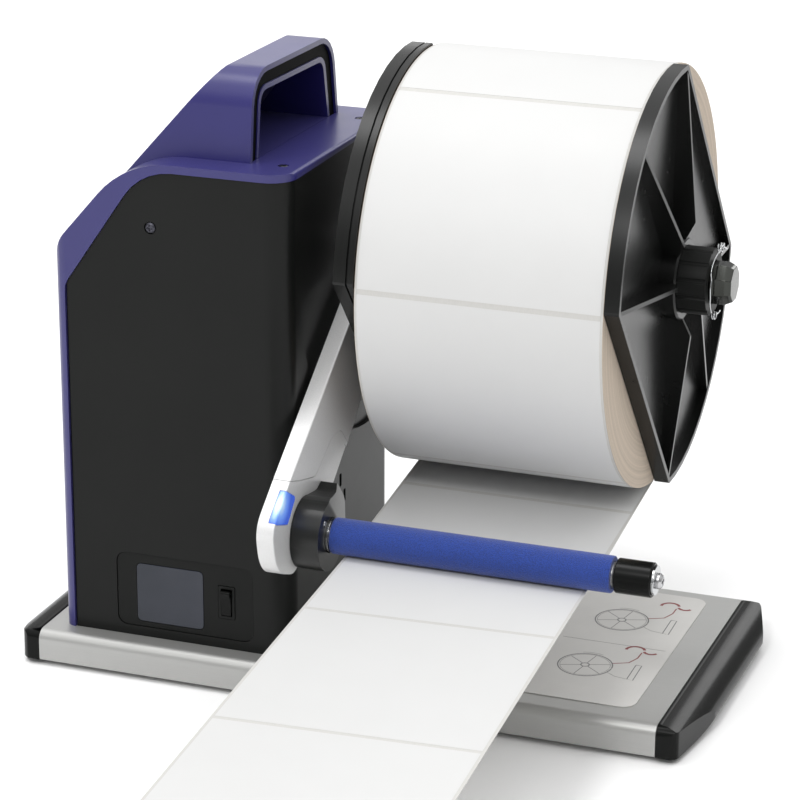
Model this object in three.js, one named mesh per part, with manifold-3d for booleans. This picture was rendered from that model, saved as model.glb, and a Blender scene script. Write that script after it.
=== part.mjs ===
// Bench label rewinder: a motor driven reel on a cantilever spindle, a spring loaded dancer arm
// with a foam roller, and a moulded housing with a grip, on an extruded aluminium base.
// Millimetres, +X along the spindle, +Y to the rear, +Z up, origin at the centre of the base's underside.
import * as THREE from 'three';
import { mergeVertices } from 'three/addons/utils/BufferGeometryUtils.js';
import Module from 'manifold-3d';

const wasm = await Module();
wasm.setup();

// Fits
const fit = 0.3; // between pieces that seat on each other
const running = 0.4; // between pieces that turn on each other
const through = 20; // how far a cutter runs past what it cuts

// Base extrusion
const baseLength = 370;
const baseDepth = 194;
const baseThickness = 18.2;
const baseEdgeRadius = 6;
const baseWall = 2.6;
const baseWebs = 2;
const capLength = 20;
const capShoulder = 10.5; // length of the cap's short front and rear sides
const capTaper = 52; // depth over which each corner tapers
const capRidge = 11; // height of the outer wall
const capPlugDepth = 12;
const footRadius = 9;
const footHeight = 3;
const footInset = 26;

// Housing, seen from the front
const housingRight = -34.3;
const housingLeft = -167.6;
const housingFront = -82.2;
const housingBack = 84;
const housingTop = 295.7;
const housingWall = 3;
const housingCornerRadius = 14;
const shoulderFoot = 226; // height where the black wall starts to lean in
const shoulderSlope = 55.4;
const shoulderRadius = 35;

// Cover
const coverLip = 1.2;
const coverTop = 300.5; // at its front edge
const coverFall = 1.8; // from the front edge to the rear edge
const coverLeft = -175;
const coverFlankFoot = 247;
const coverSlope = 49;
const coverShoulderRadius = 58;
const coverHipRadius = 30;
const coverLeftCornerRadius = 8;
const coverWall = 3;
const coverScrews = [[-44.8, -59.7], [-45.4, 59.9]];
const coverScrewRadius = 2.9;
const coverScrewSeat = 1.4; // depth of the screw heads' recesses
const frontScrewX = -115.1;
const frontScrewZ = 263.7;
const frontScrewRadius = 3.1;

// Grip
const gripMouth = -63;
const gripFrontFoot = -62.8;
const gripRearFoot = 69.8;
const gripFrontCrest = -58;
const gripRearCrest = 62;
const gripRise = 49.9; // crest of the grip, above the cover
const gripTop = coverTop + gripRise;
const gripRearFall = 1.5; // how much lower the crest is at the rear
const gripCornerRadius = 22;
const gripCrest = -84; // where the flat crest meets the slope
const gripSlope = 49;
const gripCrestRadius = 4;
const gripSkirt = 12; // how far the grip's walls run down into the cover's shoulder
const gripCoreThickness = 7.5;
const gripCoreCrown = 2.5; // extra thickness over the core's top
const gripCoreSetback = 4;
const gripSeatDepth = 1.6; // how deep the core and the liner sit in the cover
const linerWall = 3;
const linerSetback = 1;

// Spindle and bearings
const spindleY = 47.3;
const spindleZ = 227.1;
const spindleEnd = 183.8;
const journalRadius = 7.5;
const barRadius = 12.4; // to the corners of the eight sided bar
const barSides = 8;
const barChamfer = 4.5;
const bossRadius = 13.4;
const bossEnd = -22;
const bearingRadius = 11;
const bearingWidth = 8;
const bossFlangeRadius = 24;
const bossFlangeThickness = 4;

// Reel
const sleeveRadius = 19.2;
const sleeveEnd = 171.5;
const sleeveRibs = 12;
const sleeveGroove = 0.8;
const flangeRadius = 121.8;
const flangeChord = 83.3; // from the axis to each straight side
const flangeTilt = 40.5; // direction of the straight sides' normal, from +Y towards +Z
const flangeCornerRadius = 2.4;
const flangeWeb = 3.2;
const flangeRimHeight = 8.5;
const flangeRimWidth = 3;
const flangeRibWidth = 2.4;
const flangeRibRise = 8.5; // above the rim, at the ribs' inner ends
const flangeRibInner = 33;
const flangeHubRadius = 23.5;
const flangeHubHeight = 12.5;
const innerHubRadius = 13.4;
const innerHubHeight = 13.9;
const innerRimHeight = 7.3;
const innerStepHeight = 4.6;
const innerStepGroove = 1.1;
const rollLeft = 1.3;
const rollWidth = 141.2;
const rollRadius = 120.4;
const coreWall = 3;

// Dancer arm, laid out along and across the line from the pivot to the roller
const armReach = 187.2;
const armDrop = 42.35; // below the horizontal, towards the front
const armThickness = 10.1;
const armGap = 2.3; // from the housing's side
const armHubRadius = 27;
const armSleeveRadius = 19;
const armSleeveLength = 28;
const armSeam = 178; // where the end cap starts, at the arm's upper edge
const tongueTip = 117; // where its tongue starts, along the arm's lower edge
const tongueRise = 17.5; // along the arm, from the step's foot to its flat
const stepFoot = -21.8; // across the arm, where the step round the tab starts
const stepFlat = -4; // across the arm, the step's upper side
const stepDepth = 0.8;
const beyond = 60; // across the arm, clear of its edges
const lensDepth = 4;
const mountRadius = 20.5;
const mountHeight = 16.5;
const tabHeight = 9;
const tabReach = 33.7;
const tabEdge = -3; // across the arm, the tab's upper side at its tip
const mountScrewReach = 13.6;
const mountScrewRadius = 1.9;
const recessRadius = 108;
const recessDepth = 2.5;

// Roller
const axleRadius = 4;
const rollerTubeRadius = 7;
const rollerRadius = 10.2;
const rollerGap = 2; // from the mount to the foam
const rollerLength = 160.6;
const collarRadius = 9.6;
const collarLength = 20.5;
const collarGap = 1.9;
const washerRadius = 8.2;
const washerThickness = 1.6;
const axleScrewRadius = 3.4;
const axleScrewHeight = 3.2;

// Drive
const gearModule = 1.5;
const gearTeeth = 40;
const pinionTeeth = 14;
const gearWidth = 12;
const gearFace = -90; // the gear's outer face
const pressureAngle = 20;
const gearBacklash = 0.25;
const framePlate = 3;
const frameX = -86; // the gear frame's inner face
const frameFoot = 26; // folded foot of the gear frame
const frameToe = 50; // how far its foot runs in front of the plate
const frameToeHeight = 70;
const frameFront = 42; // plate's front edge, from the spindle
const frameAbove = 30;
const motorBracketX = -108;
const motorRadius = 24;
const motorLength = 50;
const motorTurn = 225; // direction from the spindle to the motor
const springWire = 1.8;
const springTurns = 4;
const springPitch = 2.6;

// Front panel
const panelLeft = -141;
const panelRight = -56.3;
const panelBottom = 24;
const panelTop = 69;
const panelCornerRadius = 6;
const panelDepth = 1.6;
const switchX = -72.8;
const switchZ = 46.5;
const switchWidth = 8.2;
const switchHeight = 18;
const rockerTravel = 20;
const windowLeft = -128.6;
const windowRight = -87.3;
const windowBottom = 27.5;
const windowTop = 63;

// Rear wall
const inletX = -118;
const inletZ = 44;
const inletRadius = 6;
const powerX = -62;
const powerZ = 44;
const powerWidth = 13;
const powerHeight = 19;

// Guide plate on the base
const plateLeft = 95;
const plateRight = 167;
const plateFront = -79.2;
const plateDepth = 163;
const plateCornerRadius = 8;
const plateThickness = 0.5;

// Label web
const webWidth = 139.4;
const webThickness = 0.4;
const webRollLeft = 1.6;
const webRollerLeft = 3.9;
const webSkew = 3.5; // degrees, of the run in front of the roller
const webRun = 330; // straight run in front of the roller
const webBendRadius = 60;
const webBendAngle = 60;
const webTail = 45; // lying on the bench

// Materials
function finish(colour, roughness, metalness = 0) {
  return new THREE.MeshStandardMaterial({ color: colour, roughness, metalness });
}
const blackPlastic = finish('#232523', 0.45);
const purplePlastic = finish('#4a4690', 0.5);
const aluminium = finish('#bdbdbb', 0.35, 0.9);
const rubber = finish('#1a1a1a', 0.9);
const steel = finish('#9a9da0', 0.35, 1);
const chrome = finish('#c8cacc', 0.12, 1);
const paper = finish('#f3f3f1', 0.6);
const kraft = finish('#b5a799', 0.9);
const foam = finish('#2f4a9e', 0.95);
const silverPlastic = finish('#dcdcdc', 0.4);
const bluePlastic = finish('#4f6fe0', 0.2);
const smokedPlastic = finish('#3d4350', 0.2);
const boardGreen = finish('#1f6b3a', 0.6);
const copper = finish('#b87333', 0.4, 1);

const rad = THREE.MathUtils.degToRad;

// Solid helpers

function signedVolume(position, index) {
  let volume = 0;
  const a = new THREE.Vector3();
  const b = new THREE.Vector3();
  const c = new THREE.Vector3();
  for (let i = 0; i < index.length; i += 3) {
    a.fromBufferAttribute(position, index[i]);
    b.fromBufferAttribute(position, index[i + 1]);
    c.fromBufferAttribute(position, index[i + 2]);
    volume += a.dot(b.cross(c)) / 6;
  }
  return volume;
}

// A geometry as a solid, with shared vertices merged and faces pointing out.
function solid(geometry) {
  const bare = geometry.clone();
  bare.deleteAttribute('normal');
  bare.deleteAttribute('uv');
  const merged = mergeVertices(bare, 1e-4);
  const index = Array.from(merged.index.array);
  const kept = [];
  for (let i = 0; i < index.length; i += 3) {
    const [a, b, c] = [index[i], index[i + 1], index[i + 2]];
    if (a !== b && b !== c && c !== a) kept.push(a, b, c);
  }
  if (signedVolume(merged.attributes.position, kept) < 0) kept.reverse();
  return new wasm.Manifold(new wasm.Mesh({
    numProp: 3,
    vertProperties: new Float32Array(merged.attributes.position.array),
    triVerts: new Uint32Array(kept),
  }));
}

function join(...parts) {
  return parts.reduce((whole, part) => whole.add(part));
}

function cut(whole, ...cutters) {
  return cutters.reduce((rest, cutter) => rest.subtract(cutter), whole);
}

function geometryOf(whole) {
  const mesh = whole.getMesh();
  const geometry = new THREE.BufferGeometry();
  const xyz = new Float32Array(mesh.vertProperties.length / mesh.numProp * 3);
  for (let i = 0; i < xyz.length / 3; i++) {
    for (let k = 0; k < 3; k++) xyz[3 * i + k] = mesh.vertProperties[mesh.numProp * i + k];
  }
  geometry.setAttribute('position', new THREE.BufferAttribute(xyz, 3));
  geometry.setIndex(Array.from(mesh.triVerts));
  geometry.computeVertexNormals();
  return geometry;
}

const model = new THREE.Group();

function piece(name, whole, material, parent = model) {
  const mesh = new THREE.Mesh(geometryOf(whole), material);
  mesh.name = name;
  parent.add(mesh);
  return mesh;
}

// Outline helpers

// A closed outline through corner points [x, y, radius], each corner rounded by its radius.
function outline(corners, steps = 5) {
  const points = [];
  corners.forEach(([x, y, radius = 0], i) => {
    const at = new THREE.Vector2(x, y);
    const [px, py] = corners[(i + corners.length - 1) % corners.length];
    const [nx, ny] = corners[(i + 1) % corners.length];
    const back = new THREE.Vector2(px, py).sub(at).normalize();
    const ahead = new THREE.Vector2(nx, ny).sub(at).normalize();
    const half = Math.acos(THREE.MathUtils.clamp(back.dot(ahead), -1, 1)) / 2;
    if (radius === 0 || half > 1.56) {
      points.push(at);
      return;
    }
    const middle = back.clone().add(ahead).normalize().multiplyScalar(radius / Math.sin(half)).add(at);
    const reach = radius / Math.tan(half);
    const start = back.multiplyScalar(reach).add(at).sub(middle);
    const end = ahead.multiplyScalar(reach).add(at).sub(middle);
    const turn = Math.atan2(start.x * end.y - start.y * end.x, start.dot(end));
    for (let k = 0; k <= steps; k++) {
      points.push(start.clone().rotateAround(new THREE.Vector2(), turn * k / steps).add(middle));
    }
  });
  return points;
}

function rectangle(x0, y0, x1, y1, radius = 0) {
  return outline([[x0, y0, radius], [x1, y0, radius], [x1, y1, radius], [x0, y1, radius]]);
}

function circle(x, y, radius, sides = 48) {
  return Array.from({ length: sides }, (_, i) => {
    const a = 2 * Math.PI * i / sides;
    return new THREE.Vector2(x + radius * Math.cos(a), y + radius * Math.sin(a));
  });
}

const alongX = new THREE.Matrix4().makeBasis(
  new THREE.Vector3(0, 1, 0), new THREE.Vector3(0, 0, 1), new THREE.Vector3(1, 0, 0));
const alongY = new THREE.Matrix4().makeBasis(
  new THREE.Vector3(1, 0, 0), new THREE.Vector3(0, 0, 1), new THREE.Vector3(0, -1, 0));
const roundX = new THREE.Matrix4().makeBasis(
  new THREE.Vector3(0, 1, 0), new THREE.Vector3(1, 0, 0), new THREE.Vector3(0, 0, -1));

function extrude(points, depth, holes = []) {
  const shape = new THREE.Shape(points);
  shape.holes = holes.map((hole) => new THREE.Path(hole));
  return new THREE.ExtrudeGeometry(shape, { depth, bevelEnabled: false });
}

// A (y, z) outline from x0 to x1.
function prismX(points, x0, x1, holes = []) {
  return solid(extrude(points, x1 - x0, holes).applyMatrix4(alongX).translate(x0, 0, 0));
}

// An (x, z) outline from y0 to y1.
function prismY(points, y0, y1, holes = []) {
  return solid(extrude(points, y1 - y0, holes).applyMatrix4(alongY).translate(0, y1, 0));
}

// An (x, y) outline from z0 to z1.
function prismZ(points, z0, z1, holes = []) {
  return solid(extrude(points, z1 - z0, holes).translate(0, 0, z0));
}

function box(x0, x1, y0, y1, z0, z1) {
  return prismZ(rectangle(x0, y0, x1, y1), z0, z1);
}

// A profile of [x, radius] turned about an axis along X through (y, z).
function turned(profile, y, z, sides = 48) {
  const points = profile.map(([x, radius]) => new THREE.Vector2(radius, x));
  const geometry = new THREE.LatheGeometry(points, sides).applyMatrix4(roundX);
  return solid(geometry.translate(0, y, z));
}

// A closed ring profile between two radii and two stations on an axis along X.
function ring(x0, x1, inner, outer, y, z, sides = 48) {
  return turned([[x0, inner], [x0, outer], [x1, outer], [x1, inner], [x0, inner]], y, z, sides);
}

function rod(x0, x1, radius, y, z, sides = 48) {
  return turned([[x0, 0], [x0, radius], [x1, radius], [x1, 0]], y, z, sides);
}

// A screw head with a cross recess, its seat at the given point, facing +X, -Y or +Z.
function screwHead(x, y, z, radius, height, facing) {
  const head = solid(new THREE.LatheGeometry([
    new THREE.Vector2(0, 0), new THREE.Vector2(radius, 0), new THREE.Vector2(radius, height * 0.55),
    new THREE.Vector2(radius * 0.7, height), new THREE.Vector2(0, height)], 14));
  const slot = radius * 1.1;
  const arm = radius * 0.16;
  const recess = join(solid(new THREE.BoxGeometry(slot, height, 2 * arm).translate(0, height, 0)),
    solid(new THREE.BoxGeometry(2 * arm, height, slot).translate(0, height, 0)));
  const geometry = geometryOf(cut(head, recess));
  if (facing === '+X') geometry.applyMatrix4(roundX);
  if (facing === '+Z') geometry.rotateX(Math.PI / 2);
  if (facing === '-Y') geometry.rotateX(Math.PI);
  return solid(geometry.translate(x, y, z));
}

// Base

const halfLength = baseLength / 2;
const halfDepth = baseDepth / 2;

function baseChambers(inset) {
  const clear = baseDepth - 2 * baseWall;
  const pitch = (clear + baseWall) / (baseWebs + 1);
  return Array.from({ length: baseWebs + 1 }, (_, i) => {
    const y0 = -halfDepth + baseWall + i * pitch;
    return [y0 + inset, baseWall + inset, y0 + pitch - baseWall - inset, baseThickness - baseWall - inset];
  });
}

function baseOutline() {
  const radius = baseEdgeRadius;
  return outline([[-halfDepth, 0, 1], [halfDepth, 0, 1],
    [halfDepth, baseThickness, radius], [-halfDepth, baseThickness, radius]]);
}

function basePlate() {
  const corner = baseEdgeRadius - baseWall;
  const chambers = baseChambers(0).map(([y0, z0, y1, z1]) => rectangle(y0, z0, y1, z1, corner));
  return prismX(baseOutline(), -halfLength, halfLength, chambers);
}

// The cap carries on the base's section, tapers at its corners and slopes down to its end.
function endCap(side) {
  const reach = halfLength + capLength;
  const short = halfLength + capShoulder;
  const bow = short + (reach - short) * 0.62;
  const taper = halfDepth - capTaper;
  const plan = outline([[0, -halfDepth], [short, -halfDepth, 4], [bow, -halfDepth + capTaper / 2, 60],
    [reach, -taper, 20], [reach, taper, 20], [bow, halfDepth - capTaper / 2, 60], [short, halfDepth, 4],
    [0, halfDepth]], 4);
  const section = outline([[0, 0], [reach, 0, 0.8], [reach, capRidge, 3.5], [reach - 7.5, baseThickness - 2.2, 18],
    [halfLength + 1.5, baseThickness, 12], [0, baseThickness]], 5);
  const body = prismX(baseOutline(), halfLength + fit, reach + 1).intersect(prismZ(plan, -1, baseThickness + 1))
    .intersect(prismY(section, -halfDepth - 1, halfDepth + 1));
  const plugs = baseChambers(fit).map(([y0, z0, y1, z1]) =>
    prismX(rectangle(y0, z0, y1, z1, baseEdgeRadius - baseWall), halfLength - capPlugDepth, halfLength + 2 * fit));
  const cap = join(body, ...plugs);
  return side > 0 ? cap : solid(geometryOf(cap).scale(-1, 1, 1));
}

function foot(sideX, sideY) {
  const geometry = new THREE.LatheGeometry([
    new THREE.Vector2(0, -footHeight), new THREE.Vector2(footRadius - 1, -footHeight),
    new THREE.Vector2(footRadius, -footHeight + 1), new THREE.Vector2(footRadius, 0),
    new THREE.Vector2(0, 0)], 22).rotateX(Math.PI / 2);
  return solid(geometry.translate(sideX * (halfLength - footInset), sideY * (halfDepth - footInset), 0));
}

function makeBase() {
  piece('base_plate', basePlate(), aluminium);
  piece('right_end_cap', endCap(1), blackPlastic);
  piece('left_end_cap', endCap(-1), blackPlastic);
  for (const [front, sideY] of [['front', -1], ['rear', 1]]) {
    for (const [hand, sideX] of [['left', -1], ['right', 1]]) {
      piece(`foot_${front}_${hand}`, foot(sideX, sideY), rubber);
    }
  }
  const guide = rectangle(plateLeft, plateFront, plateRight, plateFront + plateDepth, plateCornerRadius);
  piece('guide_plate', prismZ(guide, baseThickness, baseThickness + plateThickness), silverPlastic);
}

// Housing and cover

// The front view of the space that the black housing fills, grown by some millimetres.
function housingFace(grow, right = housingRight) {
  const rise = housingTop - shoulderFoot;
  const shoulder = housingLeft + rise / Math.tan(rad(shoulderSlope));
  return outline([[housingLeft - grow, baseThickness - grow], [right, baseThickness - grow],
    [right, housingTop + grow], [shoulder - grow / 2, housingTop + grow, shoulderRadius],
    [housingLeft - grow, shoulderFoot + grow / 2, 12]]);
}

// The front view of the cover's skin, drawn in by some millimetres.
function coverFace(inset) {
  const rise = coverTop - coverFlankFoot;
  const shoulder = coverLeft + rise / Math.tan(rad(coverSlope));
  return outline([[coverLeft + inset, baseThickness], [housingRight + coverLip - inset, baseThickness],
    [housingRight + coverLip - inset, coverTop - inset, Math.max(2.4 - inset, 0)],
    [shoulder + inset / 2, coverTop - inset, coverShoulderRadius],
    [coverLeft + inset, coverFlankFoot - inset / 2, coverHipRadius]], 8);
}

function plan(left, right, front, back, leftRadius, rightRadius) {
  return outline([[left, front, leftRadius], [right, front, rightRadius],
    [right, back, rightRadius], [left, back, leftRadius]], 6);
}

function sideRecess() {
  const disc = rod(housingRight - recessDepth, housingRight + through, recessRadius, spindleY, spindleZ, 72);
  return disc.trimByPlane([0, 0, -1], -spindleZ);
}

function housingShell() {
  const outside = prismZ(plan(housingLeft, housingRight, housingFront, housingBack, 1, housingCornerRadius),
    baseThickness, housingTop);
  const inside = prismZ(plan(housingLeft - through, housingRight - housingWall, housingFront + housingWall,
    housingBack - housingWall, 1, housingCornerRadius - housingWall), baseThickness - 1, housingTop + 1);
  const face = prismY(housingFace(0), housingFront - 1, housingBack + 1);
  let shell = cut(outside, inside).intersect(face);
  // The side wall is doubled behind the recess, so the recess doesn't break through.
  const pad = box(housingRight - 2 * housingWall, housingRight - housingWall + fit, housingFront + housingWall,
    housingBack - housingWall, spindleZ - recessRadius - 8, spindleZ + 6).intersect(outside);
  shell = cut(join(shell, pad), sideRecess());
  const panel = prismY(rectangle(panelLeft, panelBottom, panelRight, panelTop, panelCornerRadius),
    housingFront - 1, housingFront + panelDepth);
  const sleeveHole = rod(housingRight - through, housingRight + through,
    armSleeveRadius + running + 1, spindleY, spindleZ);
  const switchHole = prismY(rectangle(switchX - switchWidth / 2 - fit, switchZ - switchHeight / 2 - fit,
    switchX + switchWidth / 2 + fit, switchZ + switchHeight / 2 + fit), housingFront - 1, housingFront + through);
  const inletHole = prismY(circle(inletX, inletZ, inletRadius + fit, 24), housingBack - through, housingBack + 1);
  const powerHole = prismY(rectangle(powerX - powerWidth / 2 - fit, powerZ - powerHeight / 2 - fit,
    powerX + powerWidth / 2 + fit, powerZ + powerHeight / 2 + fit), housingBack - through, housingBack + 1);
  const slots = [0, 6.4].map((step) => prismX(rectangle(-3.3 + step, 94 - 1.8 * step, 0.1 + step, 102 - 1.8 * step, 1),
    housingRight - 1.5, housingRight + 1));
  const screwHole = prismY(circle(frontScrewX, frontScrewZ, frontScrewRadius + 0.2 + fit, 24), housingFront - 1,
    housingFront + 1.4);
  return cut(shell, panel, sleeveHole, switchHole, inletHole, powerHole, screwHole, ...slots);
}

// The (y, z) arch of the grip, drawn in by some millimetres; its legs run down past the cover's top.
function gripArch(inset, foot, crown) {
  const lean = (gripFrontCrest - gripFrontFoot) / gripRise;
  const rearLean = (gripRearFoot - gripRearCrest) / gripRise;
  const down = coverTop - foot;
  const radius = Math.max(gripCornerRadius - inset, 2);
  const top = gripTop - inset - crown;
  return outline([[gripFrontFoot + inset - lean * down, foot], [gripRearFoot - inset + rearLean * down, foot],
    [gripRearCrest - inset, top - gripRearFall, radius], [gripFrontCrest + inset, top, radius]], 6);
}

// The (x, z) view of the space under the grip's crest and slope, drawn in by some millimetres.
function gripSide(inset, right, foot, crown) {
  const run = (gripTop - foot) / Math.tan(rad(gripSlope));
  const shift = inset / Math.sin(rad(gripSlope));
  const top = gripTop - inset - crown;
  const crest = gripCrest + shift - (inset + crown) / Math.tan(rad(gripSlope));
  return outline([[right, foot], [right, top], [crest, top, gripCrestRadius], [gripCrest - run + shift, foot]], 4);
}

// The space inside the grip, drawn in by some millimetres, and by some more at its crown.
function gripSpace(inset, right, foot = coverTop, crown = 0) {
  return prismX(gripArch(inset, foot, crown), -through * 10, right).intersect(
    prismY(gripSide(inset, right, foot, crown), housingFront, housingBack));
}

// The cover's top falls to the rear, and all that stands on it leans with it.
function leaned(whole) {
  const share = coverFall / (housingBack - housingFront + 2 * coverLip);
  const shear = new THREE.Matrix4().makeShear(0, 0, 0, -share, 0, 0).setPosition(0, 0, (housingFront - coverLip) * share);
  return solid(geometryOf(whole).applyMatrix4(shear));
}

function topCover() {
  const front = housingFront - coverLip;
  const back = housingBack + coverLip;
  const right = housingRight + coverLip;
  const skin = prismY(coverFace(0), front, back).intersect(prismZ(
    plan(coverLeft, right, front, back, coverLeftCornerRadius, housingCornerRadius + coverLip), 0, coverTop + 1));
  const room = prismY(coverFace(coverWall), front, back).intersect(prismZ(
    plan(coverLeft + coverWall, right - coverWall, front + coverWall, back - coverWall,
      coverLeftCornerRadius - coverWall, housingCornerRadius), -1, coverTop - coverWall));
  const below = prismY(housingFace(fit, right + 1), front - 1, back + 1);
  const gripRoom = join(gripSpace(coverWall, gripMouth + 1),
    gripSpace(coverWall, gripMouth - linerSetback + fit, coverTop - gripSeatDepth));
  const screws = coverScrews.map(([x, y]) =>
    prismZ(circle(x, y, coverScrewRadius + fit, 24), coverTop - coverScrewSeat, coverTop + 1));
  const whole = join(skin, gripSpace(0, gripMouth, coverTop - gripSkirt));
  return cut(leaned(cut(whole, room, gripRoom, ...screws)), below).trimByPlane([0, 0, 1], baseThickness);
}

function makeHousing() {
  piece('housing_shell', housingShell(), blackPlastic);
  piece('top_cover', topCover(), purplePlastic);
  const coreOuter = coverWall + fit;
  const coreInner = coreOuter + gripCoreThickness;
  const seat = coverTop - gripSeatDepth + fit;
  const core = cut(gripSpace(coreOuter, gripMouth - gripCoreSetback, seat),
    gripSpace(coreInner, gripMouth + 1, seat - 1, gripCoreCrown));
  piece('grip_core', leaned(core), blackPlastic);
  const linerOuter = coreInner + fit;
  const liner = cut(gripSpace(linerOuter, gripMouth - linerSetback, seat, gripCoreCrown),
    gripSpace(linerOuter + linerWall, gripMouth + 1, coverTop, gripCoreCrown));
  piece('grip_liner', leaned(liner), purplePlastic);
  coverScrews.forEach(([x, y], i) => {
    const head = screwHead(x, y, coverTop - coverScrewSeat + fit, coverScrewRadius, coverScrewSeat - fit, '+Z');
    piece(`cover_screw_${i === 0 ? 'front' : 'rear'}`, leaned(head), steel);
  });
  piece('housing_screw', screwHead(frontScrewX, housingFront + 1.4 - fit, frontScrewZ, frontScrewRadius, 1.8, '-Y'), steel);
}

// Front panel and rear connections

function rocker(x, y, z, width, height, out, tilt) {
  const half = height / 2;
  const side = outline([[-half, 0, 0.6], [-half, out * 1.15, 1], [0, out * 0.45], [half, out * 1.15, 1], [half, 0, 0.6],
    [half * 0.55, -out, 1], [-half * 0.55, -out, 1]], 3);
  const body = extrude(side, width).applyMatrix4(alongX).translate(-width / 2, 0, 0);
  return solid(body.rotateX(Math.PI / 2).rotateX(rad(tilt)).translate(x, y, z));
}

function makePanel() {
  const floor = housingFront + panelDepth;
  const inlay = rectangle(panelLeft + fit, panelBottom + fit, panelRight - fit, panelTop - fit, panelCornerRadius - fit);
  const switchSeat = rectangle(switchX - switchWidth / 2 - 1.2, switchZ - switchHeight / 2 - 1.2,
    switchX + switchWidth / 2 + 1.2, switchZ + switchHeight / 2 + 1.2, 1);
  const windowSeat = rectangle(windowLeft - fit, windowBottom - fit, windowRight + fit, windowTop + fit, 3);
  piece('control_panel', prismY(inlay, floor - 1, floor, [switchSeat, windowSeat]), blackPlastic);
  piece('smoked_window', prismY(rectangle(windowLeft, windowBottom, windowRight, windowTop, 3 - fit),
    floor - 1.2, floor), smokedPlastic);
  const bezelOuter = rectangle(switchX - switchWidth / 2 - 0.9, switchZ - switchHeight / 2 - 0.9,
    switchX + switchWidth / 2 + 0.9, switchZ + switchHeight / 2 + 0.9, 1);
  const opening = rectangle(switchX - switchWidth / 2 + 0.7, switchZ - switchHeight / 2 + 0.7,
    switchX + switchWidth / 2 - 0.7, switchZ + switchHeight / 2 - 0.7);
  const barrel = rectangle(switchX - switchWidth / 2, switchZ - switchHeight / 2,
    switchX + switchWidth / 2, switchZ + switchHeight / 2);
  piece('direction_switch_body', join(prismY(bezelOuter, floor - 1.4, floor - fit, [opening]),
    prismY(barrel, floor - fit, floor + 12, [opening]),
    prismY(barrel, floor + 11, floor + 13)), blackPlastic);
  const plate = housingBack + 1.4;
  const powerOuter = rectangle(powerX - powerWidth / 2 - 1.5, powerZ - powerHeight / 2 - 1.5,
    powerX + powerWidth / 2 + 1.5, powerZ + powerHeight / 2 + 1.5, 1);
  const powerOpening = rectangle(powerX - powerWidth / 2 + 1, powerZ - powerHeight / 2 + 1,
    powerX + powerWidth / 2 - 1, powerZ + powerHeight / 2 - 1);
  const powerBarrel = rectangle(powerX - powerWidth / 2, powerZ - powerHeight / 2,
    powerX + powerWidth / 2, powerZ + powerHeight / 2);
  piece('power_switch_body', join(prismY(powerOuter, housingBack + 0.1, plate, [powerOpening]),
    prismY(powerBarrel, housingBack - 12, housingBack + 0.2, [powerOpening]),
    prismY(powerBarrel, housingBack - 13, housingBack - 11)), blackPlastic);
  piece('power_inlet', cut(join(prismY(circle(inletX, inletZ, inletRadius + 2.5, 24), housingBack + 0.1, housingBack + 2),
    prismY(circle(inletX, inletZ, inletRadius, 24), housingBack - 12, housingBack + 0.2)),
    prismY(circle(inletX, inletZ, inletRadius - 1.8, 20), housingBack - 9, housingBack + 3,
      [circle(inletX, inletZ, 1.1, 12)])), blackPlastic);
}

// Spindle support

function makeFrame() {
  const plateY0 = spindleY - frameFront;
  const plateY1 = housingBack - housingWall - 2;
  const plateTop = spindleZ + frameAbove;
  const face = outline([[plateY0 - frameToe, baseThickness], [plateY1, baseThickness], [plateY1, plateTop, 12],
    [plateY0, plateTop, 12], [plateY0 - frameToe, baseThickness + frameToeHeight, frameAbove]]);
  const bore = circle(spindleY, spindleZ, journalRadius + 1.5, 36);
  piece('gear_frame', join(prismX(face, frameX, frameX + framePlate, [bore]),
    box(frameX, frameX + frameFoot, plateY0 - frameToe, plateY1, baseThickness, baseThickness + framePlate)), steel);
  const flangeX = frameX + framePlate;
  const seat = bearingRadius + fit / 2;
  const boss = turned([[flangeX, seat], [flangeX, bossFlangeRadius],
    [flangeX + bossFlangeThickness, bossFlangeRadius], [flangeX + bossFlangeThickness, bossRadius],
    [bossEnd, bossRadius], [bossEnd, seat], [bossEnd - bearingWidth - fit, seat],
    [bossEnd - bearingWidth - fit, seat - 2], [flangeX + bearingWidth + fit, seat - 2],
    [flangeX + bearingWidth + fit, seat], [flangeX, seat]], spindleY, spindleZ, 28);
  piece('spindle_boss', boss, blackPlastic);
  piece('front_bearing', ring(bossEnd - bearingWidth, bossEnd - fit, journalRadius + fit / 2, bearingRadius,
    spindleY, spindleZ, 24), steel);
  piece('rear_bearing', ring(flangeX + fit, flangeX + bearingWidth, journalRadius + fit / 2, bearingRadius,
    spindleY, spindleZ, 24), steel);
}

// Gears

const centres = gearModule * (gearTeeth + pinionTeeth) / 2;
const motorY = spindleY + centres * Math.cos(rad(motorTurn));
const motorZ = spindleZ + centres * Math.sin(rad(motorTurn));

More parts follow.
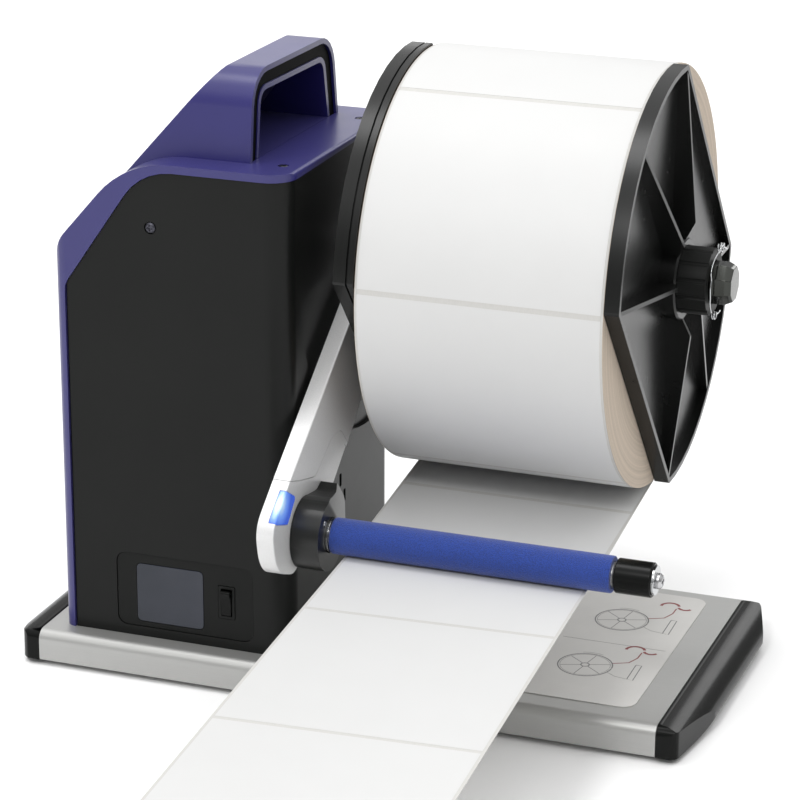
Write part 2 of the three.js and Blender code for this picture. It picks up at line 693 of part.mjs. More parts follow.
// An involute gear's outline about the origin, with its first tooth at the given angle.
function gearOutline(teeth, first) {
  const pitch = gearModule * teeth / 2;
  const root = pitch - 1.25 * gearModule;
  const tip = pitch + gearModule;
  const baseCircle = pitch * Math.cos(rad(pressureAngle));
  const involute = (r) => {
    const a = Math.acos(Math.min(baseCircle / r, 1));
    return Math.tan(a) - a;
  };
  const halfTooth = (Math.PI / 2 - gearBacklash / gearModule) / teeth + involute(pitch);
  const radii = (baseCircle > root + 0.2 ? [baseCircle * 1.0001] : []).concat([pitch, tip]);
  const points = [];
  for (let tooth = 0; tooth < teeth; tooth++) {
    const middle = first + 2 * Math.PI * tooth / teeth;
    const flank = radii.map((r) => [r, halfTooth - involute(r)]);
    const left = [[root, halfTooth + 0.15 / teeth], ...flank].map(([r, a]) => [r, middle - a]);
    const right = [...flank].reverse().concat([[root, halfTooth + 0.15 / teeth]]).map(([r, a]) => [r, middle + a]);
    for (const [r, a] of [...left, ...right]) points.push(new THREE.Vector2(r * Math.cos(a), r * Math.sin(a)));
  }
  return points;
}

function shifted(points, y, z) {
  return points.map((p) => new THREE.Vector2(p.x + y, p.y + z));
}

function makeDrive() {
  const toMotor = rad(motorTurn);
  const inner = gearFace - gearWidth;
  const gear = prismX(shifted(gearOutline(gearTeeth, toMotor), spindleY, spindleZ), inner, gearFace);
  const rim = gearModule * gearTeeth / 2 - 6;
  const waist = ring(gearFace - 3, gearFace + 1, journalRadius + 5, rim, spindleY, spindleZ, 24);
  const waistBack = ring(inner - 1, inner + 3, journalRadius + 5, rim, spindleY, spindleZ, 24);
  piece('spindle_gear', cut(gear, waist, waistBack,
    rod(inner - 1, gearFace + 1, journalRadius + fit / 2, spindleY, spindleZ, 24)), steel);
  const gap = Math.PI / pinionTeeth;
  const pinion = join(prismX(shifted(gearOutline(pinionTeeth, toMotor + Math.PI + gap), motorY, motorZ),
    inner, gearFace), rod(motorBracketX - 6, inner + 1, 4, motorY, motorZ, 20));
  piece('motor_pinion', pinion, steel);
  const bracketFoot = 24;
  const bracketY0 = motorY - motorRadius - 10;
  const bracketY1 = motorY + motorRadius + 10;
  const bracketHoles = [circle(motorY, motorZ, 6.5, 28)];
  piece('motor_bracket', join(
    prismX(outline([[bracketY0, baseThickness], [bracketY1, baseThickness], [bracketY1, motorZ + 30, 12],
      [bracketY0, motorZ + 30, 12]]), motorBracketX, motorBracketX + framePlate, bracketHoles),
    box(motorBracketX - bracketFoot, motorBracketX + framePlate, bracketY0, bracketY1,
      baseThickness, baseThickness + framePlate)), steel);
  const motorFace = motorBracketX - fit;
  const motor = turned([[motorFace - motorLength - 6, 0], [motorFace - motorLength - 6, 7],
    [motorFace - motorLength, 7], [motorFace - motorLength, motorRadius - 2], [motorFace - motorLength + 2, motorRadius],
    [motorFace - 18, motorRadius], [motorFace - 18, motorRadius - 1.5], [motorFace - 15, motorRadius - 1.5],
    [motorFace - 15, motorRadius], [motorFace, motorRadius], [motorFace, 4.6], [motorFace - 10, 4.6],
    [motorFace - 10, 0]], motorY, motorZ, 24);
  piece('drive_motor', motor, steel);
}

function makeBoard() {
  const y = housingFront + housingWall + 14.5;
  const left = panelLeft + 2;
  const right = panelRight + 10;
  const bottom = baseThickness + 2;
  const top = panelTop + 44;
  const board = box(left, right, y, y + 1.6, bottom, top);
  const parts = [[0.12, 0.75, 18, 12, 9], [0.45, 0.8, 14, 14, 4], [0.75, 0.72, 12, 20, 11], [0.2, 0.35, 22, 10, 6],
    [0.62, 0.35, 10, 10, 14]];
  const blocks = parts.map(([u, v, w, h, d]) => {
    const x = left + u * (right - left);
    const z = bottom + v * (top - bottom);
    return box(x - w / 2, x + w / 2, y + 1.5, y + 1.6 + d, z - h / 2, z + h / 2);
  });
  piece('control_board', join(board, ...blocks), boardGreen);
  const leg = 1.5;
  piece('board_bracket', join(box(left + 6, right - 6, y - leg, y, baseThickness, bottom + 9),
    box(left + 6, right - 6, y - 11, y, baseThickness, baseThickness + leg)), steel);
}

// Reel

function spindle() {
  const barStart = innerBack + fit;
  const flats = rad(180 / barSides);
  const bar = solid(new THREE.CylinderGeometry(barRadius, barRadius, spindleEnd - barChamfer - barStart, barSides)
    .rotateY(flats).applyMatrix4(roundX)
    .translate((spindleEnd - barChamfer + barStart) / 2, spindleY, spindleZ));
  const nose = solid(new THREE.CylinderGeometry(barRadius - barChamfer * 0.75, barRadius, barChamfer, barSides)
    .rotateY(flats).applyMatrix4(roundX).translate(spindleEnd - barChamfer / 2, spindleY, spindleZ));
  const journal = rod(gearFace - gearWidth - 1.5, barStart + 1, journalRadius, spindleY, spindleZ, 36);
  const shoulder = rod(bossEnd + fit, innerBack - innerHubHeight - fit, barRadius, spindleY, spindleZ, 36);
  return join(journal, shoulder, bar, nose);
}

function sleeveOutline() {
  const points = [];
  for (let rib = 0; rib < sleeveRibs; rib++) {
    const middle = 2 * Math.PI * rib / sleeveRibs;
    const half = Math.PI / sleeveRibs;
    for (const [share, drop] of [[-0.86, 1], [-0.72, 0], [-0.24, 0], [0.24, 0], [0.72, 0], [0.86, 1]]) {
      const r = sleeveRadius - drop * sleeveGroove;
      const a = middle + share * half;
      points.push(new THREE.Vector2(spindleY + r * Math.cos(a), spindleZ + r * Math.sin(a)));
    }
  }
  return points;
}

// A disc about the spindle with two parallel straight sides, drawn in by some millimetres.
function trimmedDisc(inset, stepsPerArc = 13) {
  const radius = flangeRadius - inset;
  const half = Math.acos((flangeChord - inset) / radius);
  const tilt = rad(flangeTilt);
  const corners = [];
  for (const turn of [tilt, tilt + Math.PI]) {
    for (let i = 0; i <= stepsPerArc; i++) {
      const a = turn + half + (Math.PI - 2 * half) * i / stepsPerArc;
      const rounding = i % stepsPerArc === 0 ? Math.max(flangeCornerRadius - inset, 0.4) : 0;
      corners.push([spindleY + radius * Math.cos(a), spindleZ + radius * Math.sin(a), rounding]);
    }
  }
  return outline(corners, 2);
}

// Angles of the ribs: one to each corner, and one to the middle of each round side.
function ribAngles() {
  const half = THREE.MathUtils.radToDeg(Math.acos(flangeChord / flangeRadius));
  return [half, -half, 90, 180 + half, 180 - half, 270].map((a) => rad(flangeTilt + a));
}

// A rib's side view as [radius, height above the web's back], swept up to the hub from the rim.
function flangeRib(angle, rimHeight, bore, hubRadius, hubHeight) {
  const crest = rimHeight + flangeRibRise;
  const outer = flangeRadius - flangeRimWidth / 2;
  const profile = [[bore + 1, 0.5], [outer, 0.5], [outer, rimHeight - 0.6], [flangeRibInner, crest],
    [hubRadius, hubHeight - 0.5], [bore + 1, hubHeight - 0.5]];
  const shape = profile.map(([r, h]) => new THREE.Vector2(r, h));
  const geometry = extrude(shape, flangeRibWidth).translate(0, 0, -flangeRibWidth / 2);
  const radial = new THREE.Vector3(0, Math.cos(angle), Math.sin(angle));
  const aside = new THREE.Vector3(0, -Math.sin(angle), Math.cos(angle));
  const turn = new THREE.Matrix4().makeBasis(radial, new THREE.Vector3(1, 0, 0), aside.negate());
  return solid(geometry.applyMatrix4(turn).translate(0, spindleY, spindleZ));
}

// The moulded flange, its flat back at x = 0 and its ribs towards +X.
function flange(rimHeight, bore, hubRadius, hubHeight) {
  const top = rimHeight + flangeRibRise + 1;
  const dish = cut(prismX(trimmedDisc(0), 0, rimHeight), prismX(trimmedDisc(flangeRimWidth), flangeWeb, top));
  const within = prismX(trimmedDisc(0.6), 0, top);
  const hub = turned([[0, 0], [0, hubRadius], [hubHeight - 1, hubRadius],
    [hubHeight, hubRadius - 1], [hubHeight, 0]], spindleY, spindleZ, 36);
  const ribs = ribAngles().map((angle) => flangeRib(angle, rimHeight, bore, hubRadius, hubHeight).intersect(within));
  return cut(join(dish, hub, ...ribs), rod(-1, top, bore, spindleY, spindleZ, 36));
}

const innerBack = rollLeft - fit - innerStepHeight;

// The inner flange turns the same moulding round, on a smaller hub, and has a stepped rim on its roll side.
function innerFlange() {
  const moulding = flange(innerRimHeight, journalRadius + fit / 2, innerHubRadius, innerHubHeight);
  const turnedRound = geometryOf(moulding).scale(-1, 1, 1).translate(innerBack, 0, 0);
  const neck = prismX(trimmedDisc(1.4), innerBack - 0.5, innerBack + innerStepGroove + 0.5);
  const step = prismX(trimmedDisc(0), innerBack + innerStepGroove, innerBack + innerStepHeight);
  const bore = rod(innerBack - 1, rollLeft + 1, sleeveRadius + fit, spindleY, spindleZ);
  return join(solid(turnedRound), cut(join(neck, step), bore));
}

// The clip wire around the sleeve's end: a ring with three outward loops.
function sleeveClip() {
  const points = [];
  const turns = 36;
  for (let i = 0; i < turns; i++) {
    const a = 2 * Math.PI * i / turns;
    const lobe = Math.max(0, Math.cos(3 * (a - rad(80)))) ** 2;
    const r = sleeveRadius - 2.2 + 4.4 * lobe;
    points.push(new THREE.Vector3(sleeveEnd + 1.6 + 1.1 * Math.sin(6 * a) * (1 - lobe) + 2.2 * lobe,
      spindleY + r * Math.cos(a), spindleZ + r * Math.sin(a)));
  }
  return new THREE.CatmullRomCurve3(points, true);
}

function closedWire(curve, radius, steps, sides = 5) {
  const rings = [];
  const up = new THREE.Vector3(1, 0, 0);
  for (let i = 0; i < steps; i++) {
    const at = curve.getPointAt(i / steps);
    const tangent = curve.getTangentAt(i / steps);
    const side = new THREE.Vector3().crossVectors(tangent, up).normalize();
    const top = new THREE.Vector3().crossVectors(side, tangent).normalize();
    rings.push(Array.from({ length: sides }, (_, k) => {
      const a = 2 * Math.PI * k / sides;
      return at.clone().addScaledVector(side, radius * Math.cos(a)).addScaledVector(top, radius * Math.sin(a));
    }));
  }
  return lattice(rings, true);
}

// A closed skin over rings of points, its ends joined together or capped.
function lattice(rings, looped) {
  const sides = rings[0].length;
  const xyz = rings.flat().flatMap((p) => [p.x, p.y, p.z]);
  const index = [];
  const last = looped ? rings.length : rings.length - 1;
  for (let i = 0; i < last; i++) {
    const j = (i + 1) % rings.length;
    for (let k = 0; k < sides; k++) {
      const l = (k + 1) % sides;
      index.push(i * sides + k, i * sides + l, j * sides + l, i * sides + k, j * sides + l, j * sides + k);
    }
  }
  if (!looped) {
    const end = (rings.length - 1) * sides;
    for (let k = 1; k < sides - 1; k++) index.push(0, k + 1, k, end, end + k, end + k + 1);
  }
  const geometry = new THREE.BufferGeometry();
  geometry.setAttribute('position', new THREE.Float32BufferAttribute(xyz, 3));
  geometry.setIndex(index);
  return solid(geometry);
}

function makeReel() {
  piece('spindle_shaft', spindle(), chrome);
  const bore = circle(spindleY, spindleZ, barRadius + fit, 32);
  piece('core_sleeve', prismX(sleeveOutline(), innerBack + fit, sleeveEnd, [bore]), blackPlastic);
  piece('inner_flange', innerFlange(), blackPlastic);
  const coreRadius = sleeveRadius + fit + coreWall;
  const rollEnd = rollLeft + rollWidth;
  piece('paper_core', ring(rollLeft, rollEnd, sleeveRadius + fit, coreRadius, spindleY, spindleZ, 36), kraft);
  piece('label_roll', ring(rollLeft, rollEnd, coreRadius + fit, rollRadius, spindleY, spindleZ, 96), paper);
  piece('sleeve_clip', closedWire(sleeveClip(), 0.6, 60), chrome);
  const outerX = rollEnd + fit;
  const moulding = flange(flangeRimHeight, sleeveRadius + fit, flangeHubRadius, flangeHubHeight);
  piece('outer_flange', solid(geometryOf(moulding).translate(outerX, 0, 0)), blackPlastic);
}

// Dancer arm

const armInner = housingRight + armGap;
const armOuter = armInner + armThickness;
const along = new THREE.Vector2(-Math.cos(rad(armDrop)), -Math.sin(rad(armDrop)));
const across = new THREE.Vector2(along.y, -along.x);

// A point given along and across the arm, as (y, z).
function onArm(u, v) {
  return new THREE.Vector2(spindleY + u * along.x + v * across.x, spindleZ + u * along.y + v * across.y);
}

function armOutline(corners, steps = 6) {
  return outline(corners, steps).map((p) => onArm(p.x, p.y));
}

const rollerY = onArm(armReach, 0).x;
const rollerZ = onArm(armReach, 0).y;

// The whole arm's outline: slim at the pivot, broad and rounded at the roller.
function armShape(inset) {
  return armOutline([[0, 16 - inset], [armSeam, 38.8 - inset], [armReach + 22, 42 - inset, 14],
    [armReach + 36 - inset, 18, 24], [armReach + 24 - inset, -7 + inset, 12],
    [armReach - 37, -23.5 + inset, 60], [armReach - 82, -27 + inset, 60], [0, -24 + inset]], 6);
}

function bevelled(points, x0, x1, bevel) {
  const shape = new THREE.Shape(points);
  return solid(new THREE.ExtrudeGeometry(shape, {
    depth: x1 - x0 - bevel, bevelEnabled: true, bevelSegments: 2,
    bevelThickness: bevel, bevelSize: bevel, bevelOffset: -bevel,
  }).applyMatrix4(alongX).translate(x0, 0, 0));
}

function armBlank() {
  const bevel = 1.2;
  return bevelled(armShape(0), armInner, armOuter, bevel).trimByPlane([1, 0, 0], armInner);
}

// The space of the end cap, whose tongue runs up the arm's lower edge, grown by some millimetres.
function capSpace(grow) {
  const far = 300;
  return prismX(armOutline([[armSeam - grow, beyond], [armSeam - grow, 41], [armSeam - 8.6 - grow, 25.8 + grow / 2, 12],
    [armSeam - 22 - grow, 6 + grow, 9], [tongueTip + 9, -0.5 + grow, 9], [tongueTip - grow, -10, 9],
    [tongueTip - grow, -beyond], [far, -beyond], [far, beyond]]), armInner - 1, armOuter + 1);
}

// The space of the lens, which wraps over the arm's upper edge, grown by some millimetres.
function lensSpace(grow) {
  return prismX(armOutline([[armSeam + 5.5 - grow, beyond], [armSeam + 5.5 - grow, 41], [armSeam + 0.6 - grow, 24.6 - grow, 2],
    [armSeam + 17.6 + grow, 23.6 - grow, 2], [armSeam + 26 + grow, 39], [armSeam + 26 + grow, beyond]]),
  armOuter - lensDepth - grow, armOuter + 1);
}

function makeArm() {
  const blank = armBlank();
  const bossBore = rod(armInner - armSleeveLength - 1, armOuter + 1, bossRadius + running, spindleY, spindleZ);
  const sleeve = rod(armInner - armSleeveLength, armInner + 1, armSleeveRadius, spindleY, spindleZ);
  const hub = rod(armInner, armOuter, armHubRadius, spindleY, spindleZ);
  piece('arm_body', cut(join(cut(blank, capSpace(fit)), hub, sleeve), bossBore), silverPlastic);
  const stepStart = tongueTip + 2.5;
  const stepEnd = armReach - tabReach - 1;
  const step = prismX(armOutline([[stepStart, -beyond], [stepStart, stepFoot],
    [stepStart + tongueRise, stepFlat - 2.5, 20], [stepEnd, stepFlat], [stepEnd, -beyond]]),
  armOuter - stepDepth, armOuter + 1);
  const cap = blank.intersect(capSpace(0));
  piece('arm_end_cap', cut(cap, lensSpace(fit / 2), step), silverPlastic);
  piece('arm_light_lens', cap.intersect(lensSpace(-fit / 2)), bluePlastic);
  makeMount();
}

// The roller's mount: a round boss that falls away to a tab, on the arm's end cap.
function makeMount() {
  const face = armOuter + fit;
  const top = face + mountHeight;
  const disc = rod(face, top, mountRadius, rollerY, rollerZ);
  const tip = armReach - tabReach;
  const tab = prismX(armOutline([[tip, -mountRadius, 4], [tip, tabEdge, 1.5], [tip + 7, tabEdge + 2.5, 9],
    [armReach - 12, mountRadius - 3.5, 8], [armReach - 4, mountRadius - 0.4], [armReach, 0], [armReach, -mountRadius]]),
  face, top);
  const fall = extrude(outline([[tip - 2, face - 1], [armReach + 40, face - 1], [armReach + 40, top],
    [armReach - 11, top, 12], [tip - 2, face + tabHeight]]), 100).translate(0, 0, -50);
  fall.applyMatrix4(new THREE.Matrix4().makeBasis(new THREE.Vector3(0, along.x, along.y),
    new THREE.Vector3(1, 0, 0), new THREE.Vector3(0, -across.x, -across.y)));
  const wedge = solid(fall.translate(0, spindleY, spindleZ));
  const axleSeat = rod(face + 2, top + 1, axleRadius + fit / 2, rollerY, rollerZ, 24);
  const ringSeat = rod(top - 1.2, top + 1, rollerRadius, rollerY, rollerZ, 32);
  const screws = [1, -1].map((side) => onArm(armReach, side * mountScrewReach));
  const screwSeats = screws.map((p) => rod(top - 1.6, top + 1, mountScrewRadius + fit, p.x, p.y, 20));
  piece('roller_mount', cut(join(disc, tab).intersect(wedge), axleSeat, ringSeat, ...screwSeats), blackPlastic);
  screws.forEach((p, i) => {
    const head = screwHead(top - 1.6 + fit / 2, p.x, p.y, mountScrewRadius, 1.7, '+X');
    piece(`mount_screw_${i === 0 ? 'upper' : 'lower'}`, head, chrome);
  });
}

// Roller

const mountFace = armOuter + fit + mountHeight;
const foamStart = mountFace + rollerGap;
const foamEnd = foamStart + rollerLength;
const collarStart = foamEnd + collarGap;
const collarEnd = collarStart + collarLength;

function makeRoller() {
  piece('mount_ring', ring(mountFace - 1.2 + fit, mountFace + rollerGap - 0.6, axleRadius + fit, rollerRadius - fit,
    rollerY, rollerZ, 32), chrome);
  piece('roller_axle', rod(armOuter + fit + 2 + fit, collarEnd + washerThickness, axleRadius, rollerY, rollerZ, 24), steel);
  piece('roller_tube', ring(foamStart - 0.3, foamEnd + 0.6, axleRadius + running, rollerTubeRadius, rollerY, rollerZ, 32),
    aluminium);
  piece('foam_sleeve', ring(foamStart, foamEnd, rollerTubeRadius + fit / 2, rollerRadius, rollerY, rollerZ, 40), foam);
  piece('roller_collar', turned([[collarStart, axleRadius + fit / 2], [collarStart, collarRadius - 0.6],
    [collarStart + 0.6, collarRadius], [collarEnd - 0.6, collarRadius], [collarEnd, collarRadius - 0.6],
    [collarEnd, axleRadius + fit / 2], [collarStart, axleRadius + fit / 2]], rollerY, rollerZ, 28), blackPlastic);
  const washer = ring(collarEnd + 0.1, collarEnd + washerThickness, axleRadius + fit / 2, washerRadius,
    rollerY, rollerZ, 36);
  piece('axle_washer', washer, chrome);
  piece('axle_screw', screwHead(collarEnd + washerThickness + 0.1, rollerY, rollerZ, axleScrewRadius + 1,
    axleScrewHeight, '+X'), steel);
}

// Torsion spring round the arm's sleeve, inside the housing

class Coil extends THREE.Curve {
  getPoint(t, target = new THREE.Vector3()) {
    const a = 2 * Math.PI * springTurns * t;
    const r = armSleeveRadius + 1 + springWire / 2;
    const x = armInner - armSleeveLength + springWire / 2 + springPitch * springTurns * t;
    return target.set(x, spindleY + r * Math.cos(a), spindleZ + r * Math.sin(a));
  }
}

function makeSpring() {
  const steps = springTurns * 16;
  const rings = [];
  const coil = new Coil();
  for (let i = 0; i <= steps; i++) {
    const at = coil.getPoint(i / steps);
    const out = new THREE.Vector3(0, at.y - spindleY, at.z - spindleZ).normalize();
    rings.push(Array.from({ length: 5 }, (_, k) => {
      const a = 2 * Math.PI * k / 5;
      return at.clone().addScaledVector(out, springWire / 2 * Math.cos(a))
        .add(new THREE.Vector3(springWire / 2 * Math.sin(a), 0, 0));
    }));
  }
  piece('arm_spring', lattice(rings, false), steel);
}

// Label web

// A thin ribbon through [y, z, left edge] stations, its underside below them.
function ribbon(stations) {
  const rings = stations.map(([y, z, left], i) => {
    const [y0, z0] = stations[Math.max(i - 1, 0)];
    const [y1, z1] = stations[Math.min(i + 1, stations.length - 1)];
    const length = Math.hypot(y1 - y0, z1 - z0);
    const ny = (z1 - z0) / length * webThickness;
    const nz = -(y1 - y0) / length * webThickness;
    const sign = nz > 0 ? -1 : 1;
    return [new THREE.Vector3(left, y, z), new THREE.Vector3(left + webWidth, y, z),
      new THREE.Vector3(left + webWidth, y + sign * ny, z + sign * nz), new THREE.Vector3(left, y + sign * ny, z + sign * nz)];
  });
  return lattice(rings, false);
}

// Climb of the line that touches both the roller's and the roll's undersides.
function webSlope(low) {
  const gapY = spindleY - rollerY;
  const gapZ = spindleZ - rollerZ;
  return Math.atan2(gapZ, gapY) - Math.asin((rollRadius + fit - low) / Math.hypot(gapY, gapZ));
}

function makeWeb() {
  const low = rollerRadius + fit;
  const tilt = webSlope(low);
  const under = (a) => [rollerY + low * Math.sin(a), rollerZ - low * Math.cos(a)];
  const rollStart = [spindleY + (rollRadius + fit) * Math.sin(tilt), spindleZ - (rollRadius + fit) * Math.cos(tilt)];
  const upper = [[...rollStart, webRollLeft]];
  for (const a of [tilt, tilt * 0.5]) upper.push([...under(a), webRollerLeft]);
  piece('label_web_upper', ribbon(upper), paper);
  const drift = Math.tan(rad(webSkew));
  const lower = [[...under(tilt * 0.5 - 0.02), webRollerLeft], [...under(0), webRollerLeft]];
  const runEnd = rollerY - webRun;
  const level = rollerZ - low;
  lower.push([runEnd, level, webRollerLeft + webRun * drift]);
  const bench = -footHeight + webThickness + 0.1;
  const angle = rad(webBendAngle);
  const drop = webBendRadius * (1 - Math.cos(angle));
  let y = runEnd;
  for (let k = 1; k <= 5; k++) {
    const a = angle * k / 5;
    y = runEnd - webBendRadius * Math.sin(a);
    lower.push([y, level - webBendRadius * (1 - Math.cos(a)), webRollerLeft + (rollerY - y) * drift]);
  }
  const slideDown = level - 2 * drop - bench;
  y -= slideDown / Math.tan(angle);
  const landY = y;
  for (let k = 5; k >= 0; k--) {
    const a = angle * k / 5;
    y = landY - webBendRadius * (Math.sin(angle) - Math.sin(a));
    lower.push([y, bench + webBendRadius * (1 - Math.cos(a)), webRollerLeft + (rollerY - y) * drift]);
  }
  y -= webTail;
  lower.push([y, bench, webRollerLeft + (rollerY - y) * drift]);
  piece('label_web_lower', ribbon(lower), paper);
}

makeBase();
makeHousing();
makePanel();
makeFrame();
makeDrive();
makeBoard();
makeReel();
makeArm();
makeRoller();
makeSpring();
makeWeb();
piece('direction_rocker', rocker(switchX, housingFront + panelDepth - 1.2, switchZ, switchWidth - 2.2, switchHeight - 2.2,
  2.2, rockerTravel / 2), blackPlastic);
piece('power_rocker', rocker(powerX, housingBack + 1.2, powerZ, powerWidth - 2.8, powerHeight - 2.8, 2.4,
  180 + rockerTravel / 2), blackPlastic);

export default model;
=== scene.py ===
"""Label rewinder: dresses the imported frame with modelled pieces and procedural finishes."""

import math

import bmesh
import bpy
from mathutils import Matrix, Vector
from mathutils.kdtree import KDTree


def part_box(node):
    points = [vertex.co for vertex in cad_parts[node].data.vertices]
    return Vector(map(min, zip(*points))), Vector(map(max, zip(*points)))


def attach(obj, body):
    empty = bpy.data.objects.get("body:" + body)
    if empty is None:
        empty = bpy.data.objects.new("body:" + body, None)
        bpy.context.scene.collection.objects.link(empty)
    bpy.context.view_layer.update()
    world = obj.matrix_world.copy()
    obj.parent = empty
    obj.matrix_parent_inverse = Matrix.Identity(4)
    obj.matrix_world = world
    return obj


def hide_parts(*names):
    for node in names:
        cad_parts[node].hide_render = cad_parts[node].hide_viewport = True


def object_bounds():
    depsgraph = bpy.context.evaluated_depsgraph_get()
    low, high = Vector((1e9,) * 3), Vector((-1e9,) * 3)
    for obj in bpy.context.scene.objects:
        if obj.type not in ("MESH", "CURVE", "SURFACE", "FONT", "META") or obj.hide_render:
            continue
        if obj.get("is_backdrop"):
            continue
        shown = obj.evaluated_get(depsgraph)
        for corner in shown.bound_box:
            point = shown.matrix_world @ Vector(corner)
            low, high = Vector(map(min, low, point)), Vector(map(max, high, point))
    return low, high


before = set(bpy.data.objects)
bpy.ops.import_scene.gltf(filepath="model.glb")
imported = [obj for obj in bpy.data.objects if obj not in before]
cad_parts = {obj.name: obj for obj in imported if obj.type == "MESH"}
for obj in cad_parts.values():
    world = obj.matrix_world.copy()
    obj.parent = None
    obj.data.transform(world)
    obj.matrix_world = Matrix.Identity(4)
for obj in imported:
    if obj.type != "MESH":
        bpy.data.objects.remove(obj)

bl_info = {
    "name": "Label rewinder",
    "version": (1, 0, 0),
    "blender": (4, 5, 0),
    "location": "View3D > Sidebar > Rewinder",
    "description": "Builds the pieces and finishes of a bench label rewinder",
    "category": "Mesh",
}

MM = 0.001
SAME = 1e-6  # metres: two points nearer than this are one
FACING = 0.9  # a normal that reaches this far along an axis faces that way
LEANING = 0.5  # a normal that reaches this far along an axis is within 60 degrees of it
FINISHES = {}  # the materials by name, filled when the first one is asked for

# Roundings of small pieces
FINE_EDGE = 0.2 * MM
SMALL_EDGE = 0.3 * MM
KEY_EDGE = 0.4 * MM

# The web and the roll
WEB_WIDTH = 139.4 * MM
WEB_SKEW = 3.5  # degrees, of the run in front of the roller
UPPER_GAPS = (1.0,)  # along Y, in millimetres, where a label ends on the run up to the roll
LOWER_GAPS = (-164.5, -307.0, -448.4, -551.3)  # the same, on the run in front of the roller
ROLL_STEPS = 256  # faces round the roll
ROLL_GAPS = (174.7, 115.4, 56.1, -3.2, -62.5, -121.8)  # degrees round the spindle, from the rear
CORE_BORE = 19.5 * MM  # radius
FOAM_BORE = 7.15 * MM  # radius


# The winding drawing on the plate, in millimetres. Each line is a path, a width and an ink.


def arc(centre, radius, start, end, steps, stretch=(1.0, 1.0)):
    """Points on an arc of a circle, or of an ellipse where it is stretched."""
    angles = [math.radians(start + (end - start) * i / steps) for i in range(steps + 1)]
    return [(centre[0] + radius * math.cos(a) * stretch[0],
             centre[1] + radius * math.sin(a) * stretch[1]) for a in angles]


WHEEL = (127, 37)


def spoke(degrees):
    """A line from the hub of the drawn wheel to its rim."""
    angle = math.radians(degrees)
    return [(WHEEL[0] + radius * math.cos(angle), WHEEL[1] + radius * math.sin(angle)) for radius in (2.6, 14.2)]


PLATE_FINISHES = ("film", "ink", "red_ink")
GREY, RED = 1, 2  # the inks, as places in that list
DRAWING = (
    (arc(WHEEL, 15.5, 0, 358, 48), 0.8, GREY),
    (arc(WHEEL, 14.3, 0, 358, 48), 0.25, GREY),
    (arc(WHEEL, 2.4, 0, 356, 16), 0.8, GREY),
    *((spoke(20 + 60 * i), 0.45, GREY) for i in range(6)),
    (arc(WHEEL, 17.4, 70, 110, 8), 0.3, GREY),
    (((142, 31), (147, 27.5), (154.5, 26)), 0.3, GREY),
    (((154.2, 46.5), (157.6, 46.3), (158.2, 25.4), (154.6, 26), (154.2, 46.2)), 0.6, GREY),
    (((141, 44), (145.4, 46), (149.5, 48.2), (152.4, 56), (152.6, 64)), 0.8, RED),
    (arc((148.2, 66), 5.4, 185, 20, 10), 1.7, RED),
    (arc((157.2, 67.6), 4.2, 205, 330, 8), 1.7, RED),
)
DRAWING_SHIFTS = ((0, 0), (-1.5, -69))  # it stands on the plate twice, one in front of the other
DIVIDER = (((102, 2), (163, 2)), 0.35, GREY)


# Places taken from the frame


def middle(node):
    low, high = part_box(node)
    return (low + high) / 2


SPINDLE = middle("core_sleeve")
ROLLER = middle("roller_axle")
ARM_DROP = math.atan2(SPINDLE.z - ROLLER.z, SPINDLE.y - ROLLER.y)  # how far the arm hangs below level
ALONG = Vector((0, -math.cos(ARM_DROP), -math.sin(ARM_DROP)))  # along the arm, towards the roller
ACROSS = Vector((0, -math.sin(ARM_DROP), math.cos(ARM_DROP)))  # across it, forwards and up


# Sizes and colours a user would change


def length(name, description, default):
    return bpy.props.FloatProperty(name=name, description=description, default=default, subtype="DISTANCE",
                                   unit="LENGTH", precision=5)


def colour(name, description, default):
    return bpy.props.FloatVectorProperty(name=name, description=description, default=default, size=3,
                                         subtype="COLOR", min=0.0, max=1.0)


class RewinderSizes(bpy.types.PropertyGroup):
    """Sizes of the pieces that are modelled here."""

    edge: length("Moulded edge", "Rounding along the edges of moulded plastic", 0.7 * MM)
    metal_edge: length("Metal edge", "Broken edge of machined and folded metal", 0.3 * MM)
    label_gap: length("Label gap", "Bare liner between two labels", 3.0 * MM)
    label_margin: length("Label margin", "Bare liner beside the labels", 1.6 * MM)
    label_rise: length("Label thickness", "How far a label stands proud of the liner", 0.12 * MM)
    turn: length("Winding pitch", "Thickness of one turn of web on the roll", 0.32 * MM)
    foam_cell: length("Foam cell", "Size of the open cells of the foam sleeve", 0.6 * MM)


class RewinderColours(bpy.types.PropertyGroup):
    """Base colours of the finishes."""

    black: colour("Black plastic", "Housing, caps, flanges and switches", (0.0085, 0.009, 0.0085))
    purple: colour("Purple plastic", "Cover and the lining of the grip", (0.024, 0.021, 0.138))
    aluminium: colour("Aluminium", "Anodised base", (0.425, 0.425, 0.415))
    silver: colour("Silver paint", "Dancer arm", (0.77, 0.77, 0.77))
    film: colour("Plate film", "Printed film on the base", (0.58, 0.57, 0.55))
    foam: colour("Foam", "Sleeve of the roller", (0.014, 0.043, 0.24))
    label: colour("Label face", "Face of the labels", (0.62, 0.62, 0.615))
    liner: colour("Wound edge", "Ends of the roll, and its core", (0.47, 0.39, 0.31))
    lens: colour("Lens", "Lit window in the arm", (0.08, 0.18, 0.85))


# Working in edit mode


def deselect():
    if bpy.context.mode != "OBJECT":
        bpy.ops.object.mode_set(mode="OBJECT")
    bpy.ops.object.select_all(action="DESELECT")


def pick(obj):
    deselect()
    obj.select_set(True)
    bpy.context.view_layer.objects.active = obj


def edit(obj, kind="FACE"):
    pick(obj)
    bpy.ops.object.mode_set(mode="EDIT")
    bpy.ops.mesh.select_mode(type=kind)


def leave():
    bpy.ops.object.mode_set(mode="OBJECT")


